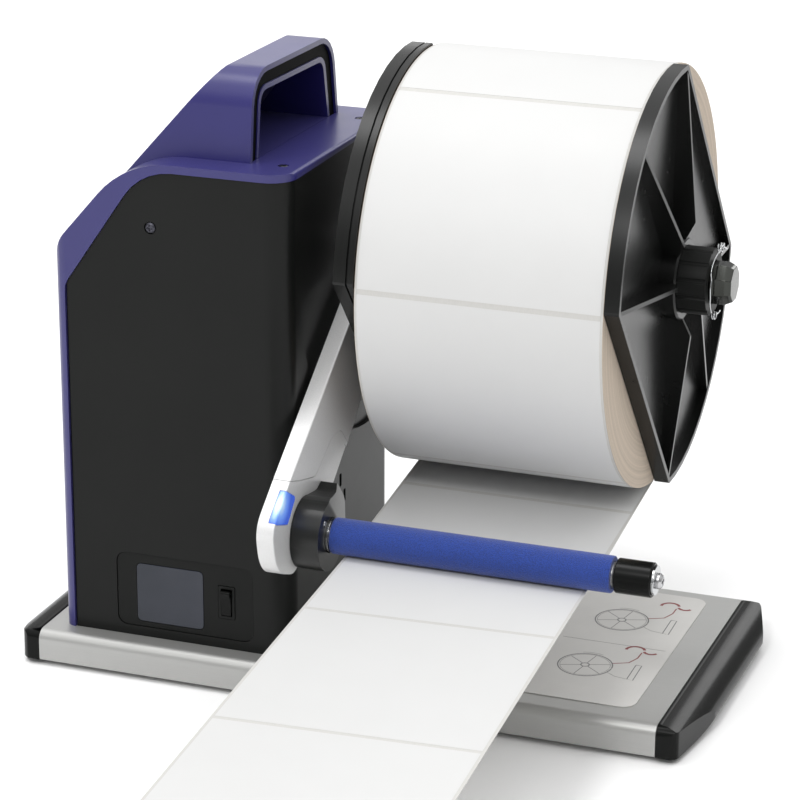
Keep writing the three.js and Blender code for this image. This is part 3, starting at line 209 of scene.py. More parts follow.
def choose(obj, kind, test):
    """Selects only the vertices, edges or faces that pass the test, in edit mode."""
    work = bmesh.from_edit_mesh(obj.data)
    for thing in (*work.verts, *work.edges, *work.faces):
        thing.select_set(False)
    for thing in getattr(work, kind):
        if test(thing):
            thing.select_set(True)
    bmesh.update_edit_mesh(obj.data)


def outward(obj):
    """Merges doubles and turns every face outwards."""
    edit(obj, "VERT")
    bpy.ops.mesh.select_all(action="SELECT")
    bpy.ops.mesh.remove_doubles(threshold=SAME)
    bpy.ops.mesh.normals_make_consistent(inside=False)
    leave()


def apply_modifier(obj, kind, **settings):
    pick(obj)
    modifier = obj.modifiers.new(kind.title(), kind)
    for key, value in settings.items():
        setattr(modifier, key, value)
    bpy.ops.object.modifier_apply(modifier=modifier.name)


def rounded(obj, width, segments=2, angle=30):
    """Rounds the edges that are sharper than the angle, in degrees."""
    apply_modifier(obj, "BEVEL", width=width, segments=segments, limit_method="ANGLE",
                   angle_limit=math.radians(angle), use_clamp_overlap=True, miter_outer="MITER_ARC")


def smooth(obj, angle=32):
    """Smooth shading below the angle, in which the large faces keep their own direction."""
    pick(obj)
    bpy.ops.object.shade_smooth_by_angle(angle=math.radians(angle))
    apply_modifier(obj, "WEIGHTED_NORMAL", keep_sharp=True)


def combine(obj, other, operation):
    """A boolean with another object, which is used up."""
    apply_modifier(obj, "BOOLEAN", object=other, operation=operation, solver="EXACT")
    mesh = other.data
    bpy.data.objects.remove(other)
    bpy.data.meshes.remove(mesh)


# Ways to start and to finish a piece


def copied(node, ending="_skin"):
    """A merged copy of a node of the frame, its flat faces made whole again."""
    obj = bpy.data.objects.new(node + ending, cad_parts[node].data.copy())
    bpy.context.scene.collection.objects.link(obj)
    obj.data.materials.clear()
    edit(obj, "VERT")
    bpy.ops.mesh.select_all(action="SELECT")
    bpy.ops.mesh.remove_doubles(threshold=2 * SAME)
    bpy.ops.mesh.dissolve_limited(angle_limit=math.radians(0.4))
    leave()
    return obj


def outline(name, corners, place, steps):
    """A flat face with rounded corners. Each corner is (a, b) or (a, b, radius), and place puts it in space."""
    deselect()
    bpy.ops.mesh.primitive_circle_add(vertices=len(corners), radius=0.01, fill_type="NGON")
    obj = bpy.context.object
    obj.name = name
    spots = [Vector(place(c[0], c[1])) for c in corners]
    for vertex, spot in zip(obj.data.vertices, spots):
        vertex.co = spot
    edit(obj, "VERT")
    count = len(corners)
    for i, corner in enumerate(corners):
        if len(corner) < 3 or not corner[2]:
            continue
        before, spot, after = spots[i - 1], spots[i], spots[(i + 1) % count]
        turn = (before - spot).angle(after - spot)
        reach = corner[2] / math.tan(turn / 2)
        choose(obj, "verts", lambda v, spot=spot: (v.co - spot).length < SAME)
        bpy.ops.mesh.bevel(offset_type="OFFSET", offset=reach, segments=steps, affect="VERTICES",
                           clamp_overlap=False)
    leave()
    return obj


def prism(name, corners, axis, start, end, steps=6):
    """An outline extruded along the axis X, Y or Z."""
    along = "XYZ".index(axis)

    def place(a, b):
        spot = [a, b]
        spot.insert(along, start)
        return spot

    move = [0, 0, 0]
    move[along] = end - start
    obj = outline(name, corners, place, steps)
    edit(obj)
    bpy.ops.mesh.select_all(action="SELECT")
    bpy.ops.mesh.extrude_region_move(TRANSFORM_OT_translate={"value": move})
    leave()
    outward(obj)
    return obj


def lathe(name, corners, centre, turns, steps):
    """A section of (x, radius[, rounding]) corners spun about an axis along X."""
    obj = outline(name, corners, lambda x, r: (x, centre.y, centre.z + r), steps)
    edit(obj)
    bpy.ops.mesh.select_all(action="SELECT")
    bpy.ops.mesh.delete(type="ONLY_FACE")
    bpy.ops.mesh.select_all(action="SELECT")
    bpy.ops.mesh.spin(steps=turns, angle=2 * math.pi, center=(0, centre.y, centre.z), axis=(1, 0, 0))
    leave()
    outward(obj)
    return obj


def coat(obj, *looks):
    """Gives an object these finishes and no others."""
    obj.data.materials.clear()
    for name in looks:
        obj.data.materials.append(material(name))


def finish(obj, body, slot, node, *looks):
    """Gives a piece its finishes and its body, and hides the node it stands for. The slot argument is not used."""
    coat(obj, *looks)
    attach(obj, body)
    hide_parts(node)


def skin(node, body, look, slot, width):
    """A copy of a node with its edges rounded, which stands for that node."""
    obj = copied(node)
    rounded(obj, width)
    smooth(obj)
    finish(obj, body, slot, node, look)


# Finishes


class Finish:
    """A material under construction: a Principled shader fed by patterns on object coordinates."""

    def __init__(self, name, **sockets):
        self.material = bpy.data.materials.new(name)
        self.material.use_nodes = True
        self.tree = self.material.node_tree
        self.shader = self.tree.nodes["Principled BSDF"]
        self.place = self.add("ShaderNodeTexCoord").outputs["Object"]
        for socket, value in sockets.items():
            self.shader.inputs[socket.replace("_", " ")].default_value = value

    def add(self, kind, inputs=None, **settings):
        node = self.tree.nodes.new(kind)
        for key, value in settings.items():
            setattr(node, key, value)
        for key, value in (inputs or {}).items():
            if isinstance(value, bpy.types.NodeSocket):
                self.tree.links.new(value, node.inputs[key])
            else:
                node.inputs[key].default_value = value
        return node

    def into(self, socket, output):
        self.tree.links.new(output, self.shader.inputs[socket])

    def mapped(self, scale=(1, 1, 1), shift=(0, 0, 0)):
        node = self.add("ShaderNodeMapping", {"Vector": self.place, "Scale": scale, "Location": shift})
        return node.outputs["Vector"]

    def distance(self, centre, scale=(1, 1, 1)):
        """Distance from a point, or from a line along the axis that is scaled by 0, in metres."""
        place = self.mapped(scale, [-c * s for c, s in zip(centre, scale)])
        return self.add("ShaderNodeVectorMath", {0: place}, operation="LENGTH").outputs["Value"]

    def noise(self, scale, detail=3.0, roughness=0.55, vector=None):
        node = self.add("ShaderNodeTexNoise", {"Vector": vector or self.place, "Scale": scale, "Detail": detail,
                                               "Roughness": roughness})
        return node.outputs["Fac"]

    def cells(self, scale, feature="F1"):
        node = self.add("ShaderNodeTexVoronoi", {"Vector": self.place, "Scale": scale}, feature=feature)
        return node.outputs["Distance"]

    def ramp(self, factor, *stops):
        node = self.add("ShaderNodeValToRGB", {"Fac": factor})
        elements = node.color_ramp.elements
        while len(elements) < len(stops):
            elements.new(0.5)
        for element, (position, tone) in zip(elements, stops):
            element.position = position
            element.color = (*tone, 1)
        return node.outputs["Color"]

    def span(self, factor, low, high, start=0.0, end=1.0):
        node = self.add("ShaderNodeMapRange", {"Value": factor, "From Min": start, "From Max": end, "To Min": low,
                                               "To Max": high})
        return node.outputs["Result"]

    def maths(self, operation, *values):
        return self.add("ShaderNodeMath", dict(enumerate(values)), operation=operation).outputs[0]

    def bump(self, height, depth):
        """Relief of a depth in millimetres."""
        return self.add("ShaderNodeBump", {"Height": height, "Distance": depth * MM}).outputs["Normal"]


def shade(base, factor):
    return tuple(min(1.0, c * factor) for c in base)


def grey(level):
    return (level, level, level)


def moulded(name, base, roughness, grain=1400, depth=0.02, spread=0.12, shine=0.5, **more):
    """Moulded plastic: a fine spark grain, slow colour drift and slightly uneven gloss."""
    f = Finish(name, Roughness=roughness, IOR=1.5, Specular_IOR_Level=shine, **more)
    drift = f.noise(14, 4)
    f.into("Base Color", f.ramp(drift, (0.3, shade(base, 1 - spread)), (0.7, shade(base, 1 + spread))))
    f.into("Roughness", f.span(f.noise(60, 5), roughness - 0.02, roughness + 0.03))
    f.into("Normal", f.bump(f.noise(grain, 2), depth))
    return f.material


def brushed(name, base, roughness, along, scale, metallic=1.0, depth=0.008):
    """Brushed, drawn or turned metal, whose lines run along the axes that have the small numbers."""
    f = Finish(name, Metallic=metallic, Roughness=roughness)
    lines = f.noise(scale, 6, 0.7, f.mapped(along))
    f.into("Base Color", f.ramp(lines, (0.25, shade(base, 0.94)), (0.75, shade(base, 1.06))))
    f.into("Roughness", f.span(lines, roughness - 0.07, roughness + 0.09))
    f.into("Normal", f.bump(lines, depth))
    return f.material


def rubber():
    f = Finish("rubber", Roughness=0.85)
    f.into("Base Color", f.ramp(f.noise(40), (0.3, grey(0.012)), (0.7, grey(0.022))))
    f.into("Normal", f.bump(f.noise(900), 0.08))
    return f.material


def plate_film(base):
    f = Finish("plate film", Roughness=0.45, Coat_Weight=0.25, Coat_Roughness=0.2)
    f.into("Base Color", f.ramp(f.noise(35, 4), (0.3, shade(base, 0.97)), (0.7, shade(base, 1.03))))
    f.into("Normal", f.bump(f.noise(1800, 2), 0.01))
    return f.material


def silver_paint(base):
    """Metallic paint: small flakes under a thin clear coat."""
    f = Finish("silver paint", Metallic=0.12, Roughness=0.36, Coat_Weight=0.3, Coat_Roughness=0.12)
    flakes = f.cells(2600)
    f.into("Base Color", f.ramp(flakes, (0.1, shade(base, 1.05)), (0.7, shade(base, 0.93))))
    f.into("Roughness", f.span(f.noise(50, 4), 0.32, 0.42))
    f.into("Normal", f.bump(f.noise(220, 3), 0.01))
    return f.material


def lens_crease():
    """The middle of the lens on the edge of the arm that it wraps."""
    pivot = Vector((0, SPINDLE.y, SPINDLE.z))
    spots = [v.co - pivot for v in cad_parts["arm_light_lens"].data.vertices]
    along = [spot.dot(ALONG) for spot in spots]
    across = max(spot.dot(ACROSS) for spot in spots)
    place = pivot + ALONG * ((min(along) + max(along)) / 2) + ACROSS * across
    place.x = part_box("arm_light_lens")[1].x
    return place


def lit_lens(base):
    """A lens with a lamp behind its crease: pale there, and deep blue towards its ends."""
    f = Finish("lit lens", Roughness=0.25, Coat_Weight=0.4, Coat_Roughness=0.08, Emission_Strength=0.4)
    glow = f.distance(lens_crease())
    fade = f.maths("ADD", f.span(glow, 0.0, 1.0, 2 * MM, 13.5 * MM), f.span(f.noise(900, 3), -0.06, 0.06))
    f.into("Base Color", f.ramp(fade, (0.0, (0.6, 0.8, 0.95)), (0.5, (0.2, 0.38, 0.9)), (1.0, base)))
    f.into("Emission Color", f.ramp(fade, (0.0, (0.62, 0.86, 0.95)), (0.45, (0.16, 0.34, 0.92)),
                                    (1.0, (0.03, 0.08, 0.5))))
    return f.material


def smoked_window():
    f = Finish("smoked window", Roughness=0.12, Specular_IOR_Level=0.3, Coat_Weight=0.15, Coat_Roughness=0.04)
    f.into("Base Color", f.ramp(f.noise(20), (0.3, (0.02, 0.024, 0.034)), (0.7, (0.032, 0.036, 0.05))))
    f.into("Normal", f.bump(f.noise(90), 0.004))
    return f.material


def circuit_board():
    f = Finish("circuit board", Roughness=0.45)
    tracks = f.cells(260, feature="SMOOTH_F1")
    f.into("Base Color", f.ramp(tracks, (0.3, (0.01, 0.10, 0.035)), (0.36, (0.02, 0.2, 0.07))))
    f.into("Normal", f.bump(tracks, 0.05))
    return f.material


def wound_web(base, turn):
    """The ends of the roll: a fine ring for each turn, and slower ones where the winding was uneven."""
    f = Finish("wound web", Roughness=0.8, Sheen_Weight=0.08)
    radius = f.distance((0, SPINDLE.y, SPINDLE.z), (0, 1, 1))
    fine = f.maths("SINE", f.maths("MULTIPLY", radius, 2 * math.pi / turn))
    slow = f.noise(420, 3, 0.6, f.add("ShaderNodeCombineXYZ", {"X": radius}).outputs[0])
    mix = f.maths("ADD", f.span(fine, -0.12, 0.12, -1, 1), slow)
    f.into("Base Color", f.ramp(mix, (0.3, shade(base, 0.82)), (0.5, base), (0.72, shade(base, 1.25))))
    f.into("Normal", f.bump(mix, 0.06))
    return f.material


def label_face(base):
    f = Finish("label face", Roughness=0.5, Sheen_Weight=0.05)
    f.into("Base Color", f.ramp(f.noise(30, 5), (0.3, shade(base, 0.985)), (0.7, base)))
    f.into("Roughness", f.span(f.noise(120, 4), 0.44, 0.58))
    f.into("Normal", f.bump(f.noise(1500, 3), 0.01))
    return f.material


def bare_liner():
    f = Finish("liner", Roughness=0.6)
    fibres = f.noise(300, 4, 0.7, f.mapped((4, 1, 1)))
    f.into("Base Color", f.ramp(fibres, (0.3, (0.52, 0.515, 0.495)), (0.7, (0.56, 0.55, 0.53))))
    f.into("Normal", f.bump(f.noise(1200, 3), 0.01))
    return f.material


def core_board(base):
    f = Finish("core board", Roughness=0.85)
    fibres = f.noise(500, 5, 0.7, f.mapped((0.5, 3, 3)))
    f.into("Base Color", f.ramp(fibres, (0.3, shade(base, 0.6)), (0.7, shade(base, 0.95))))
    f.into("Normal", f.bump(fibres, 0.08))
    return f.material


def open_foam(base, cell):
    f = Finish("foam", Roughness=0.95, Sheen_Weight=0.25, Sheen_Roughness=0.5)
    cells = f.cells(1 / cell)
    f.into("Base Color", f.ramp(cells, (0.15, shade(base, 0.55)), (0.6, shade(base, 1.25))))
    f.into("Normal", f.bump(cells, 0.3))
    return f.material


def make_materials():
    """Every finish by name. A number after a plastic's or a metal's colour is its roughness."""
    c = bpy.context.scene.rewinder_colours
    s = bpy.context.scene.rewinder_sizes
    glossy_black = shade(c.black, 0.7)
    lengthwise, drawn, sheet, turned = (1, 90, 90), (1, 60, 60), (40, 40, 1), (90, 4, 4)
    plated = {"along": (60, 6, 6), "scale": 40, "depth": 0.003}
    return {
        "black": moulded("moulded black", c.black, 0.45, shine=0.14),
        "dull": moulded("dull black", shade(c.black, 0.5), 0.6, shine=0.05),
        "satin": moulded("satin black", c.black, 0.3, 1200, 0.01, 0.1, shine=0.35),
        "housing": moulded("housing black", c.black, 0.3, 900, 0.01, 0.08, shine=0.15),
        "gloss": moulded("gloss black", glossy_black, 0.22, 500, 0.005, 0.08, shine=0.12),
        "flange": moulded("flange black", glossy_black, 0.26, 700, 0.004, 0.08, shine=0.3),
        "purple": moulded("moulded purple", c.purple, 0.3, 1500, 0.06, 0.07, shine=0.55, Sheen_Weight=0.12,
                          Sheen_Roughness=0.35),
        "ink": moulded("printed line", grey(0.16), 0.5, 2000, 0.005),
        "red_ink": moulded("printed red line", (0.22, 0.03, 0.03), 0.5, 2000, 0.005),
        "aluminium": brushed("anodised aluminium", c.aluminium, 0.4, lengthwise, 40, 0.6),
        "tube": brushed("drawn tube", grey(0.6), 0.28, drawn, 50),
        "steel": brushed("rolled steel", (0.42, 0.43, 0.44), 0.36, sheet, 30),
        "turned": brushed("turned steel", (0.5, 0.5, 0.51), 0.24, turned, 30),
        "dark_steel": brushed("blackened steel", (0.07, 0.07, 0.085), 0.32, turned, 30),
        "chrome": brushed("chrome", (0.5, 0.51, 0.52), 0.1, **plated),
        "spindle": brushed("blackened spindle", (0.05, 0.052, 0.048), 0.14, **plated),
        # The spindle's end face: the same blackened steel made lighter, a painted reflection of the bright
        # surroundings it faces.
        "spindle_end": brushed("turned spindle end", (0.11, 0.112, 0.105), 0.2, **plated),
        "rubber": rubber(),
        "film": plate_film(c.film),
        "silver": silver_paint(c.silver),
        "lens": lit_lens(c.lens),
        "window": smoked_window(),
        "board": circuit_board(),
        "wound": wound_web(c.liner, s.turn),
        "label": label_face(c.label),
        "liner": bare_liner(),
        "core": core_board(c.liner),
        "foam": open_foam(c.foam, s.foam_cell),
    }


def material(name):
    if not FINISHES:
        FINISHES.update(make_materials())
    return FINISHES[name]


# Operators


class Piece(bpy.types.Operator):
    """Base of the operators: runs build, whose errors it lets through."""

    bl_idname = "rewinder.piece"
    bl_label = "Piece"
    bl_options = {"REGISTER", "UNDO"}

    def execute(self, context):
        self.build(context.scene.rewinder_sizes)
        deselect()
        return {"FINISHED"}


# The photograph's viewpoint, and a pale floor in soft studio light
CAMERA_PLACE = (0.5778, -1.5784, 0.7356)
CAMERA_TURNS = (-20.05, 19.176, 0.264)  # degrees: to the right of +Y, down, and about the line of sight
CAMERA_LENS, CAMERA_SENSOR = 139.66, 36  # millimetres
CAMERA_CLIP = (0.05, 20)
SKY = ((0.0, 0.3), (0.3, 0.42), (0.75, 1.35), (1.0, 1.6))  # height, 0 level to 1 overhead, and brightness
LAMPS = (  # name, place, width and power
    ("Key", (-0.03, -1.8, 1.8), 0.35, 13),
    ("Top", (-0.45, -0.2, 2.2), 0.7, 10),
    ("Rear", (0.42, 2.3, 1.15), 0.6, 4),
    ("Back", (-0.95, 2.3, 0.95), 0.8, 2),
)
LAMP_AIM = (0, 0, 0.15)
FLOOR_WIDTH = 40
FLOOR_GAP = 0.2 * MM  # between the floor and the lowest point


class REWINDER_OT_stage(Piece):
    """Camera, floor and soft studio light"""

    bl_idname = "rewinder.stage"
    bl_label = "Stage"

    def build(self, sizes):
        scene = bpy.context.scene
        scene.view_settings.view_transform = "Standard"
        self.add_sky(scene)
        self.add_camera(scene)
        self.add_floor()
        self.add_lamps(scene)

    @staticmethod
    def add_sky(scene):
        world = bpy.data.worlds.new("Studio")
        world.use_nodes = True
        nodes, links = world.node_tree.nodes, world.node_tree.links
        height = nodes.new("ShaderNodeSeparateXYZ")
        links.new(nodes.new("ShaderNodeTexCoord").outputs["Generated"], height.inputs[0])
        sky = nodes.new("ShaderNodeValToRGB")
        links.new(height.outputs["Z"], sky.inputs["Fac"])
        while len(sky.color_ramp.elements) < len(SKY):
            sky.color_ramp.elements.new(0.5)
        for element, (place, level) in zip(sky.color_ramp.elements, SKY):
            element.position, element.color = place, (*grey(level), 1)
        links.new(sky.outputs["Color"], nodes["Background"].inputs["Color"])
        scene.world = world

    @staticmethod
    def add_camera(scene):
        camera = bpy.data.objects.new("Camera", bpy.data.cameras.new("Camera"))
        camera.data.sensor_width = CAMERA_SENSOR
        camera.data.lens = CAMERA_LENS
        camera.data.clip_start, camera.data.clip_end = CAMERA_CLIP
        yaw, pitch, roll = (math.radians(turn) for turn in CAMERA_TURNS)
        ahead = Vector((math.sin(yaw) * math.cos(pitch), math.cos(yaw) * math.cos(pitch), -math.sin(pitch)))
        right = Vector((math.cos(yaw), -math.sin(yaw), 0))
        up = right.cross(ahead)
        side = right * math.cos(roll) + up * math.sin(roll)
        top = up * math.cos(roll) - right * math.sin(roll)
        axes = Matrix((side, top, -ahead)).transposed()
        camera.matrix_world = Matrix.Translation(CAMERA_PLACE) @ axes.to_4x4()
        scene.collection.objects.link(camera)
        scene.camera = camera

    @staticmethod
    def add_floor():
        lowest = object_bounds()[0].z
        bpy.ops.mesh.primitive_plane_add(size=1, location=(0, 0, 0))
        floor = bpy.context.object
        floor.name = "Floor"
        edit(floor, "VERT")
        bpy.ops.mesh.select_all(action="SELECT")
        bpy.ops.transform.resize(value=(FLOOR_WIDTH, FLOOR_WIDTH, 1))
        bpy.ops.transform.translate(value=(0, 0, lowest - FLOOR_GAP))
        leave()
        f = Finish("Floor", Roughness=0.9)
        f.into("Base Color", f.ramp(f.noise(3), (0.3, grey(0.95)), (0.7, grey(0.97))))
        floor.data.materials.append(f.material)
        floor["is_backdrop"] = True

    @staticmethod
    def add_lamps(scene):
        for name, place, width, power in LAMPS:
            lamp = bpy.data.objects.new(name, bpy.data.lights.new(name, "AREA"))
            lamp.data.shape = "SQUARE"
            lamp.data.size = width
            lamp.data.energy = power
            lamp.location = place
            lamp.rotation_mode = "QUATERNION"
            lamp.rotation_quaternion = (Vector(LAMP_AIM) - Vector(place)).to_track_quat("-Z", "Y")
            scene.collection.objects.link(lamp)


class REWINDER_OT_base(Piece):
    """Aluminium extrusion, its end caps and rubber feet"""

    bl_idname = "rewinder.base"
    bl_label = "Base"

    def build(self, sizes):
        skin("base_plate", "stand", "aluminium", "aluminium", sizes.metal_edge)
        right = self.cap()
        left = right.copy()
        left.data = right.data.copy()
        left.name = "left_end_cap_skin"
        bpy.context.scene.collection.objects.link(left)
        edit(left)
        bpy.ops.mesh.select_all(action="SELECT")
        bpy.ops.transform.rotate(value=math.pi, orient_axis="Z", center_override=(0, 0, 0))
        leave()
        for cap in (left, right):
            smooth(cap, 40)
            finish(cap, "stand", "black_plastic", cap.name.removesuffix("_skin"), "gloss")
        for row in ("front", "rear"):
            for side in ("left", "right"):
                skin(f"foot_{row}_{side}", "stand", "rubber", "rubber", sizes.metal_edge)

    @staticmethod
    def cap():
        """The moulding of both ends: it tapers more at one corner, and its top rolls down to the outer wall."""
        low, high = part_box("right_end_cap")
        gap = 0.32 * MM  # between the extrusion and the cap
        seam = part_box("base_plate")[1].x + gap
        start, reach, depth, top = seam - 8 * MM, high.x, high.y, high.z
        over = 1 * MM  # by which a cutter is longer than what it cuts
        plan = [(start, -depth), (seam + 11.5 * MM, -depth, 5 * MM), (reach, -42 * MM, 30 * MM),
                (reach, 66 * MM, 16 * MM), (seam + 11 * MM, depth - 3 * MM, 7 * MM), (seam + 7 * MM, depth, 4 * MM),
                (start, depth)]
        cap = prism("right_end_cap_skin", plan, "Z", low.z - over, top + over, 8)
        belly = 6 * MM  # height at which the curve of the top meets the outer wall
        crown = arc((seam, belly), 1.0, 0, 90, 12, (reach - seam, top - belly))
        section = [(start, low.z), (reach, low.z, 5.5 * MM), *crown, (start, top)]
        combine(cap, prism("section", section, "Y", -depth - over, depth + over, 8), "INTERSECT")
        end_view = [(-depth, low.z), (depth, low.z), (depth, top, 6 * MM), (-depth, top, 6 * MM)]
        combine(cap, prism("end_view", end_view, "X", start - over, reach + over, 8), "INTERSECT")
        rounded(cap, 1.4 * MM, 3, 28)
        edit(cap)
        bpy.ops.mesh.select_all(action="SELECT")
        bpy.ops.mesh.bisect(plane_co=(seam, 0, 0), plane_no=(1, 0, 0), use_fill=True, clear_inner=True)
        leave()
        # The node's own plug goes on behind, cut down to its inner part.
        plug = copied("right_end_cap", "_plug")
        wall = 2.5 * MM
        block = [(-depth + wall, low.z + wall), (depth - wall, low.z + wall), (depth - wall, top - wall),
                 (-depth + wall, top - wall)]
        combine(plug, prism("block", block, "X", low.x - over, seam + 1.2 * MM), "INTERSECT")
        combine(cap, plug, "UNION")
        return cap


class REWINDER_OT_guide(Piece):
    """Film plate on the base"""

    bl_idname = "rewinder.guide"
    bl_label = "Guide plate"

    def build(self, sizes):
        plate = copied("guide_plate")
        rounded(plate, 0.12 * MM)
        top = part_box("guide_plate")[1].z
        drawn = [([(x + shift, y + lift) for x, y in path], width, ink)
                 for shift, lift in DRAWING_SHIFTS for path, width, ink in DRAWING]
        lines = []
        for path, width, ink in (*drawn, DIVIDER):
            line = self.stroke(path, width, top)
            coat(line, *PLATE_FINISHES)
            for face in line.data.polygons:
                face.material_index = ink
            lines.append(line)
        smooth(plate)
        finish(plate, "stand", "plate_film", "guide_plate", *PLATE_FINISHES)
        pick(plate)
        for line in lines:
            line.select_set(True)
        bpy.ops.object.join()

    @staticmethod
    def stroke(path, width, floor):
        """A printed line along a path in millimetres, a hair proud of the plate."""
        spots = [Vector((x, y, 0)) for x, y in path]
        sides = []
        for i in range(len(spots)):
            ahead = (spots[min(i + 1, len(spots) - 1)] - spots[max(i - 1, 0)]).normalized()
            sides.append(Vector((-ahead.y, ahead.x, 0)) * width / 2)
        ring = [spot + side for spot, side in zip(spots, sides)]
        ring += [spot - side for spot, side in zip(spots[::-1], sides[::-1])]
        corners = [(spot.x * MM, spot.y * MM) for spot in ring]
        return prism("stroke", corners, "Z", floor - 0.02 * MM, floor + 0.03 * MM)


class REWINDER_OT_housing(Piece):
    """Black housing"""

    bl_idname = "rewinder.housing"
    bl_label = "Housing"

    def build(self, sizes):
        skin("housing_shell", "stand", "housing", "black_plastic", sizes.edge)


class REWINDER_OT_cover(Piece):
    """Purple cover with the outside of the grip, and the grip's core and liner"""

    bl_idname = "rewinder.cover"
    bl_label = "Cover"

    def build(self, sizes):
        cover = copied("top_cover")
        self.soften_rim(cover)
        rounded(cover, sizes.edge)
        smooth(cover)
        finish(cover, "stand", "purple_plastic", "top_cover", "purple")

        core, liner = copied("grip_core"), copied("grip_liner")
        self.thin_crown(core, liner, 3 * MM)
        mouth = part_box("grip_core")[1].x
        edit(core, "VERT")
        choose(core, "verts", lambda v: v.co.x > mouth - 0.05 * MM)
        bpy.ops.transform.translate(value=(2.4 * MM, 0, 0))
        leave()
        for obj, look, slot in ((core, "dull", "black_plastic"), (liner, "purple", "purple_plastic")):
            rounded(obj, sizes.edge)
            smooth(obj)
            finish(obj, "stand", slot, obj.name.removesuffix("_skin"), look)

    @staticmethod
    def soften_rim(cover):
        """Rounds the outer edge of the cover's front, rear and right more than the rest."""
        low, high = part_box("top_cover")
        plate_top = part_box("cover_screw_front")[1].z + 1 * MM

        def rim(edge):
            """Whether an edge lies between an outer wall and the roof or the left slope, at the outer wall."""
            if len(edge.link_faces) != 2 or any(v.co.z > plate_top for v in edge.verts):
                return False
            for wall, roof in (edge.link_faces, reversed(edge.link_faces)):
                if abs(wall.normal.y) > FACING and (roof.normal.z > 0.12 or roof.normal.x < -LEANING):
                    return all(min(abs(v.co.y - low.y), abs(v.co.y - high.y)) < 0.2 * MM for v in edge.verts)
                if wall.normal.x > 0.4 and roof.normal.z > FACING:
                    return all(v.co.x > high.x - 15 * MM for v in edge.verts)
            return False

        edit(cover, "EDGE")
        choose(cover, "edges", rim)
        bpy.ops.mesh.bevel(offset=1.8 * MM, segments=4, affect="EDGES", clamp_overlap=True)
        leave()

    @staticmethod
    def thin_crown(core, liner, rise):
        """Lifts the liner's crown, and with it the side of the core that the liner lies against."""
        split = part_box("grip_liner")[1].z - 22 * MM
        touching = 1.5 * MM
        tree = KDTree(len(liner.data.vertices))
        for i, vertex in enumerate(liner.data.vertices):
            tree.insert((0, vertex.co.y, vertex.co.z), i)
        tree.balance()
        for obj in (core, liner):
            edit(obj, "VERT")
            choose(obj, "verts", lambda v: v.co.z > split and tree.find((0, v.co.y, v.co.z))[2] < touching)
            bpy.ops.transform.translate(value=(0, 0, rise))
            leave()


class REWINDER_OT_screws(Piece):
    """Socket screws of the cover and the housing"""

    bl_idname = "rewinder.screws"
    bl_label = "Screws"

    def build(self, sizes):
        for node in ("cover_screw_front", "cover_screw_rear", "housing_screw"):
            skin(node, "stand", "dark_steel", "steel", FINE_EDGE)


class REWINDER_OT_panel(Piece):
    """Front panel and its dark window"""

    bl_idname = "rewinder.control_panel"
    bl_label = "Front panel"

    def build(self, sizes):
        skin("control_panel", "stand", "black", "black_plastic", SMALL_EDGE)
        skin("smoked_window", "stand", "window", "smoked_plastic", SMALL_EDGE)


class REWINDER_OT_switches(Piece):
    """Rocker switches, front and rear"""

    bl_idname = "rewinder.switches"
    bl_label = "Switches"

    def build(self, sizes):
        for node in ("direction_switch_body", "power_switch_body"):
            skin(node, "stand", "black", "black_plastic", SMALL_EDGE)
        for node, body in (("direction_rocker", "direction_key"), ("power_rocker", "power_key")):
            skin(node, body, "gloss", "black_plastic", KEY_EDGE)


class REWINDER_OT_inlet(Piece):
    """Power socket at the rear"""

    bl_idname = "rewinder.inlet"
    bl_label = "Power socket"

    def build(self, sizes):
        skin("power_inlet", "stand", "black", "black_plastic", FINE_EDGE)


class REWINDER_OT_works(Piece):
    """Drive, bearings, board and spring inside the housing, which keep the shapes of their nodes"""

    bl_idname = "rewinder.works"
    bl_label = "Inside works"

    def build(self, sizes):
        for look, nodes in (
            ("steel", ("gear_frame", "motor_bracket", "board_bracket", "arm_spring")),
            ("turned", ("front_bearing", "rear_bearing", "spindle_gear", "motor_pinion", "drive_motor")),
            ("black", ("spindle_boss",)),
            ("board", ("control_board",)),
        ):
            for node in nodes:
                coat(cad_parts[node], look)


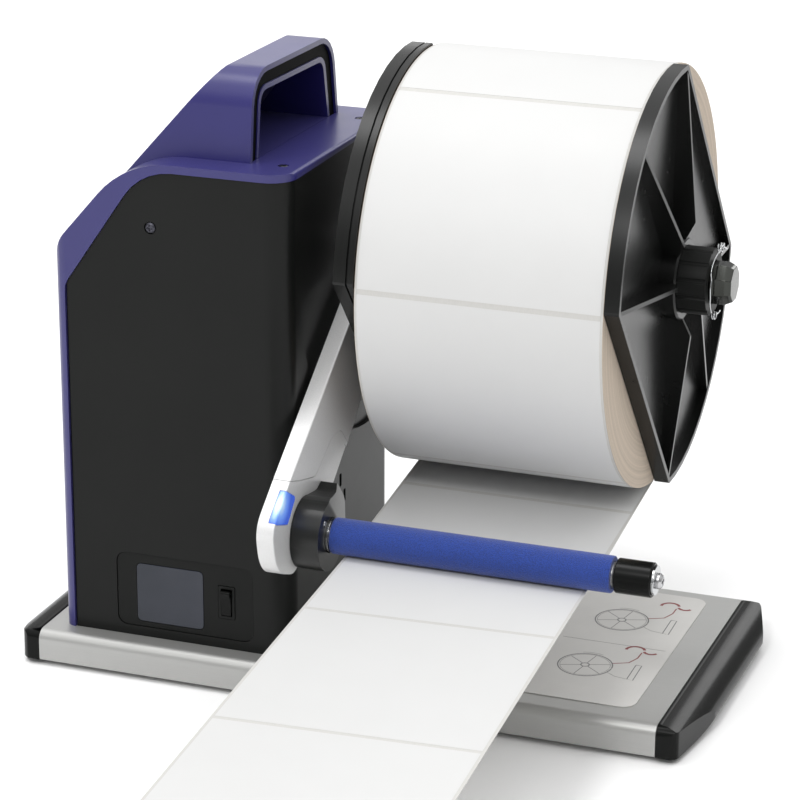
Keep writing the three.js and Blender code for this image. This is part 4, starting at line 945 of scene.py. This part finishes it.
class REWINDER_OT_spindle(Piece):
    """Eight sided spindle, ribbed sleeve and clip"""

    bl_idname = "rewinder.spindle"
    bl_label = "Spindle"

    def build(self, sizes):
        shaft = copied("spindle_shaft")
        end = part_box("spindle_shaft")[1].x
        growth = 1.14  # of the end, so that the last faces slope less
        edit(shaft, "VERT")
        choose(shaft, "verts", lambda v: v.co.x > end - 0.1 * MM)
        bpy.ops.transform.resize(value=(1, growth, growth), center_override=(end, SPINDLE.y, SPINDLE.z))
        leave()
        rounded(shaft, sizes.metal_edge)
        smooth(shaft)
        finish(shaft, "reel", "chrome", "spindle_shaft", "spindle", "spindle_end")
        # The end faces take the lighter finish, which is a painted reflection.
        for face in shaft.data.polygons:
            face.material_index = 1 if face.center.x > end - 0.01 * MM else 0
        skin("core_sleeve", "reel", "black", "black_plastic", FINE_EDGE)
        self.clip()

    @staticmethod
    def clip():
        """Wire clip: two small coils above, one below, and a waved wire between them down the front."""
        low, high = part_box("sleeve_clip")
        middle_x = (low.x + high.x) / 2
        path = []

        def coil(y, z, radius, start, turns, pitch):
            steps = round(14 * turns)
            for i in range(steps + 1):
                angle = math.radians(start + 360 * turns * i / steps)
                path.append((middle_x + pitch * MM * (i / steps - 0.5), y * MM + radius * MM * math.cos(angle),
                             z * MM + radius * MM * math.sin(angle)))

        def link(*spots):
            path.extend((middle_x, y * MM, z * MM) for y, z in spots)

        link((19.0, 14.3), (14.5, 16.4))
        coil(8.2, 18.2, 2.3, 0, 1.5, 2.2)
        coil(1.8, 19.2, 2.3, 0, 1.5, 2.2)
        link((-5.4, 16.6), (-9.6, 15.4), (-14.6, 12.2), (-16.2, 8.6), (-13.6, 5.6), (-15.6, 2.2), (-16.0, -1.4),
             (-15.0, -5.0), (-15.8, -9.2), (-12.6, -13.6))
        coil(-5.0, -18.0, 2.0, 150, 1.75, 2.0)
        link((1.6, -19.4), (8.6, -19.2))
        deselect()
        line = bpy.data.curves.new("sleeve_clip_wire", "CURVE")
        line.dimensions = "3D"
        line.bevel_depth = 0.42 * MM
        line.bevel_resolution = 3
        line.use_fill_caps = True
        spline = line.splines.new("NURBS")
        spline.points.add(len(path) - 1)
        for point, (x, y, z) in zip(spline.points, path):
            point.co = (x, SPINDLE.y + y, SPINDLE.z + z, 1)
        spline.order_u = 3
        spline.use_endpoint_u = True
        spline.resolution_u = 3
        wire = bpy.data.objects.new("sleeve_clip_wire", line)
        bpy.context.scene.collection.objects.link(wire)
        pick(wire)
        bpy.ops.object.convert(target="MESH")
        wire = bpy.context.object
        outward(wire)
        smooth(wire, 60)
        finish(wire, "reel", "chrome", "sleeve_clip", "chrome")


class REWINDER_OT_flanges(Piece):
    """Ribbed flanges"""

    bl_idname = "rewinder.flanges"
    bl_label = "Flanges"

    def build(self, sizes):
        for node, body in (("inner_flange", "reel"), ("outer_flange", "keeper")):
            skin(node, body, "flange", "black_plastic", FINE_EDGE)


class REWINDER_OT_roll(Piece):
    """Wound roll of labels on its core"""

    bl_idname = "rewinder.roll"
    bl_label = "Label roll"

    def build(self, sizes):
        low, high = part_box("paper_core")
        outer = (high.z - low.z) / 2
        core = lathe("paper_core_tube", [(low.x, CORE_BORE, SMALL_EDGE), (high.x, CORE_BORE, SMALL_EDGE),
                                         (high.x, outer, SMALL_EDGE), (low.x, outer, SMALL_EDGE)],
                     SPINDLE, turns=96, steps=2)
        smooth(core)
        finish(core, "reel", "core_board", "paper_core", "core")

        low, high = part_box("label_roll")
        inner = outer + 0.3 * MM
        radius = (high.z - low.z) / 2
        liner = radius - sizes.label_rise
        left, right = low.x + sizes.label_margin, high.x - sizes.label_margin
        roll = lathe("wound_roll", [(low.x, inner, SMALL_EDGE), (high.x, inner, SMALL_EDGE),
                                    (high.x, liner, SMALL_EDGE), (right, liner), (right, radius), (left, radius),
                                    (left, liner), (low.x, liner, SMALL_EDGE)],
                     SPINDLE, turns=ROLL_STEPS, steps=2)
        edit(roll)
        choose(roll, "faces", lambda f: self.in_gap(f, liner))
        bpy.ops.mesh.extrude_region_shrink_fatten(TRANSFORM_OT_shrink_fatten={"value": -sizes.label_rise})
        leave()
        smooth(roll, 40)
        finish(roll, "reel", "label_paper", "label_roll", "wound", "label", "liner")
        for face in roll.data.polygons:
            out = self.reach(face.center)
            if out > liner - 0.02 * MM and abs(face.normal.x) < LEANING:
                face.material_index = 1 if out > radius - 0.05 * MM else 2

    @staticmethod
    def reach(place):
        return math.hypot(place.y - SPINDLE.y, place.z - SPINDLE.z)

    def in_gap(self, face, liner):
        """Whether a face of the label surface lies where one label ends and the next begins."""
        place = face.calc_center_median()
        if self.reach(place) < liner + 0.05 * MM or abs(face.normal.x) > LEANING:
            return False
        angle = math.degrees(math.atan2(place.z - SPINDLE.z, place.y - SPINDLE.y))
        return any(abs((angle - gap + 180) % 360 - 180) < 180 / ROLL_STEPS for gap in ROLL_GAPS)


class REWINDER_OT_arm(Piece):
    """Dancer arm with its cap and lit lens"""

    bl_idname = "rewinder.arm"
    bl_label = "Dancer arm"

    def build(self, sizes):
        skin("arm_body", "arm", "silver", "silver_plastic", SMALL_EDGE)
        skin("arm_end_cap", "arm", "silver", "silver_plastic", FINE_EDGE)
        skin("arm_light_lens", "arm", "lens", "lens", FINE_EDGE)


class REWINDER_OT_mount(Piece):
    """Mount of the roller, its screws and ring"""

    bl_idname = "rewinder.mount"
    bl_label = "Roller mount"

    def build(self, sizes):
        skin("roller_mount", "arm", "satin", "black_plastic", sizes.edge)
        for node in ("mount_screw_upper", "mount_screw_lower", "mount_ring"):
            skin(node, "arm", "chrome", "chrome", FINE_EDGE)


class REWINDER_OT_roller(Piece):
    """Foam roller on its axle"""

    bl_idname = "rewinder.roller"
    bl_label = "Roller"

    def build(self, sizes):
        low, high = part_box("foam_sleeve")
        radius = (high.z - low.z) / 2
        foam = lathe("foam_roller", [(low.x, FOAM_BORE), (high.x, FOAM_BORE), (high.x, radius, 1 * MM),
                                     (low.x, radius, 1 * MM)], ROLLER, turns=128, steps=3)
        smooth(foam)
        finish(foam, "roller", "foam", "foam_sleeve", "foam")
        skin("roller_tube", "roller", "tube", "aluminium", FINE_EDGE)
        skin("roller_axle", "arm", "turned", "steel", SMALL_EDGE)
        skin("roller_collar", "arm", "gloss", "black_plastic", SMALL_EDGE)
        skin("axle_washer", "arm", "chrome", "chrome", SMALL_EDGE)
        skin("axle_screw", "arm", "turned", "steel", FINE_EDGE)


class REWINDER_OT_web(Piece):
    """Label web from the roll to the bench"""

    bl_idname = "rewinder.web"
    bl_label = "Label web"

    def build(self, sizes):
        low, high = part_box("label_web_upper")
        upper = self.ribbon("label_web_upper", (0.5 * (low.x + high.x), 0), sizes, UPPER_GAPS)
        low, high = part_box("label_web_lower")
        lower = self.ribbon("label_web_lower", (low.x + WEB_WIDTH / 2, math.tan(math.radians(WEB_SKEW))), sizes,
                            LOWER_GAPS)

    @staticmethod
    def ribbon(node, lane, sizes, gaps):
        """A copy of the web with labels raised on its upper side. The lane is the centre line's X and drift."""
        obj = copied(node, "_run")
        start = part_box(node)[1].y
        heading = Vector((lane[1], -1, 0)).normalized()
        aside = Vector((1, lane[1], 0)).normalized()
        centre = Vector((lane[0], start, 0))
        ends = [(start - gap * MM) / -heading.y for gap in gaps]
        edit(obj)
        for end in ends:
            for side in (-0.5, 0.5):
                place = centre + heading * end + heading * side * sizes.label_gap
                bpy.ops.mesh.select_all(action="SELECT")
                bpy.ops.mesh.bisect(plane_co=place, plane_no=heading)
        reach = (WEB_WIDTH / 2 - sizes.label_margin) * aside.x
        for side in (-1, 1):
            bpy.ops.mesh.select_all(action="SELECT")
            bpy.ops.mesh.bisect(plane_co=centre + Vector((side * reach, 0, 0)), plane_no=aside)

        def label(face):
            place = face.calc_center_median() - centre
            if face.normal.z < 0.3 or abs(place.dot(aside)) > reach:
                return False
            return all(abs(place.dot(heading) - end) > sizes.label_gap / 2 for end in ends)

        choose(obj, "faces", label)
        bpy.ops.mesh.extrude_region_shrink_fatten(TRANSFORM_OT_shrink_fatten={"value": sizes.label_rise})
        work = bmesh.from_edit_mesh(obj.data)
        for face in work.faces:
            face.material_index = 1 if face.select else 0
        bmesh.update_edit_mesh(obj.data)
        leave()
        smooth(obj, 40)
        chosen = [face.material_index for face in obj.data.polygons]
        finish(obj, "stand", "label_paper", node, "liner", "label")
        for face, index in zip(obj.data.polygons, chosen):
            face.material_index = index
        return obj

    @staticmethod
    def run(obj):
        """Length of the web, from the area of its underside."""
        under = sum(face.area for face in obj.data.polygons if face.normal.z < -0.3)
        return under / WEB_WIDTH


STEPS = (
    REWINDER_OT_stage, REWINDER_OT_base, REWINDER_OT_guide, REWINDER_OT_housing, REWINDER_OT_cover,
    REWINDER_OT_screws, REWINDER_OT_panel, REWINDER_OT_switches, REWINDER_OT_inlet, REWINDER_OT_works,
    REWINDER_OT_spindle, REWINDER_OT_flanges, REWINDER_OT_roll, REWINDER_OT_arm, REWINDER_OT_mount,
    REWINDER_OT_roller, REWINDER_OT_web,
)


class REWINDER_PT_sidebar(bpy.types.Panel):
    """Buttons for every piece of the rewinder"""

    bl_idname = "REWINDER_PT_sidebar"
    bl_label = "Label rewinder"
    bl_space_type = "VIEW_3D"
    bl_region_type = "UI"
    bl_category = "Rewinder"

    def draw(self, context):
        for group in (context.scene.rewinder_sizes, context.scene.rewinder_colours):
            box = self.layout.box()
            for key in group.__annotations__:
                box.prop(group, key)
        for step in STEPS:
            self.layout.operator(step.bl_idname)


CLASSES = (RewinderSizes, RewinderColours, *STEPS, REWINDER_PT_sidebar)


def register():
    for one in CLASSES:
        bpy.utils.register_class(one)
    bpy.types.Scene.rewinder_sizes = bpy.props.PointerProperty(type=RewinderSizes)
    bpy.types.Scene.rewinder_colours = bpy.props.PointerProperty(type=RewinderColours)


def unregister():
    del bpy.types.Scene.rewinder_sizes
    del bpy.types.Scene.rewinder_colours
    for one in reversed(CLASSES):
        bpy.utils.unregister_class(one)


def main():
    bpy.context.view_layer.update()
    register()
    for step in STEPS:
        group, name = step.bl_idname.split(".")
        getattr(getattr(bpy.ops, group), name)()


if __name__ == "__main__":
    main()
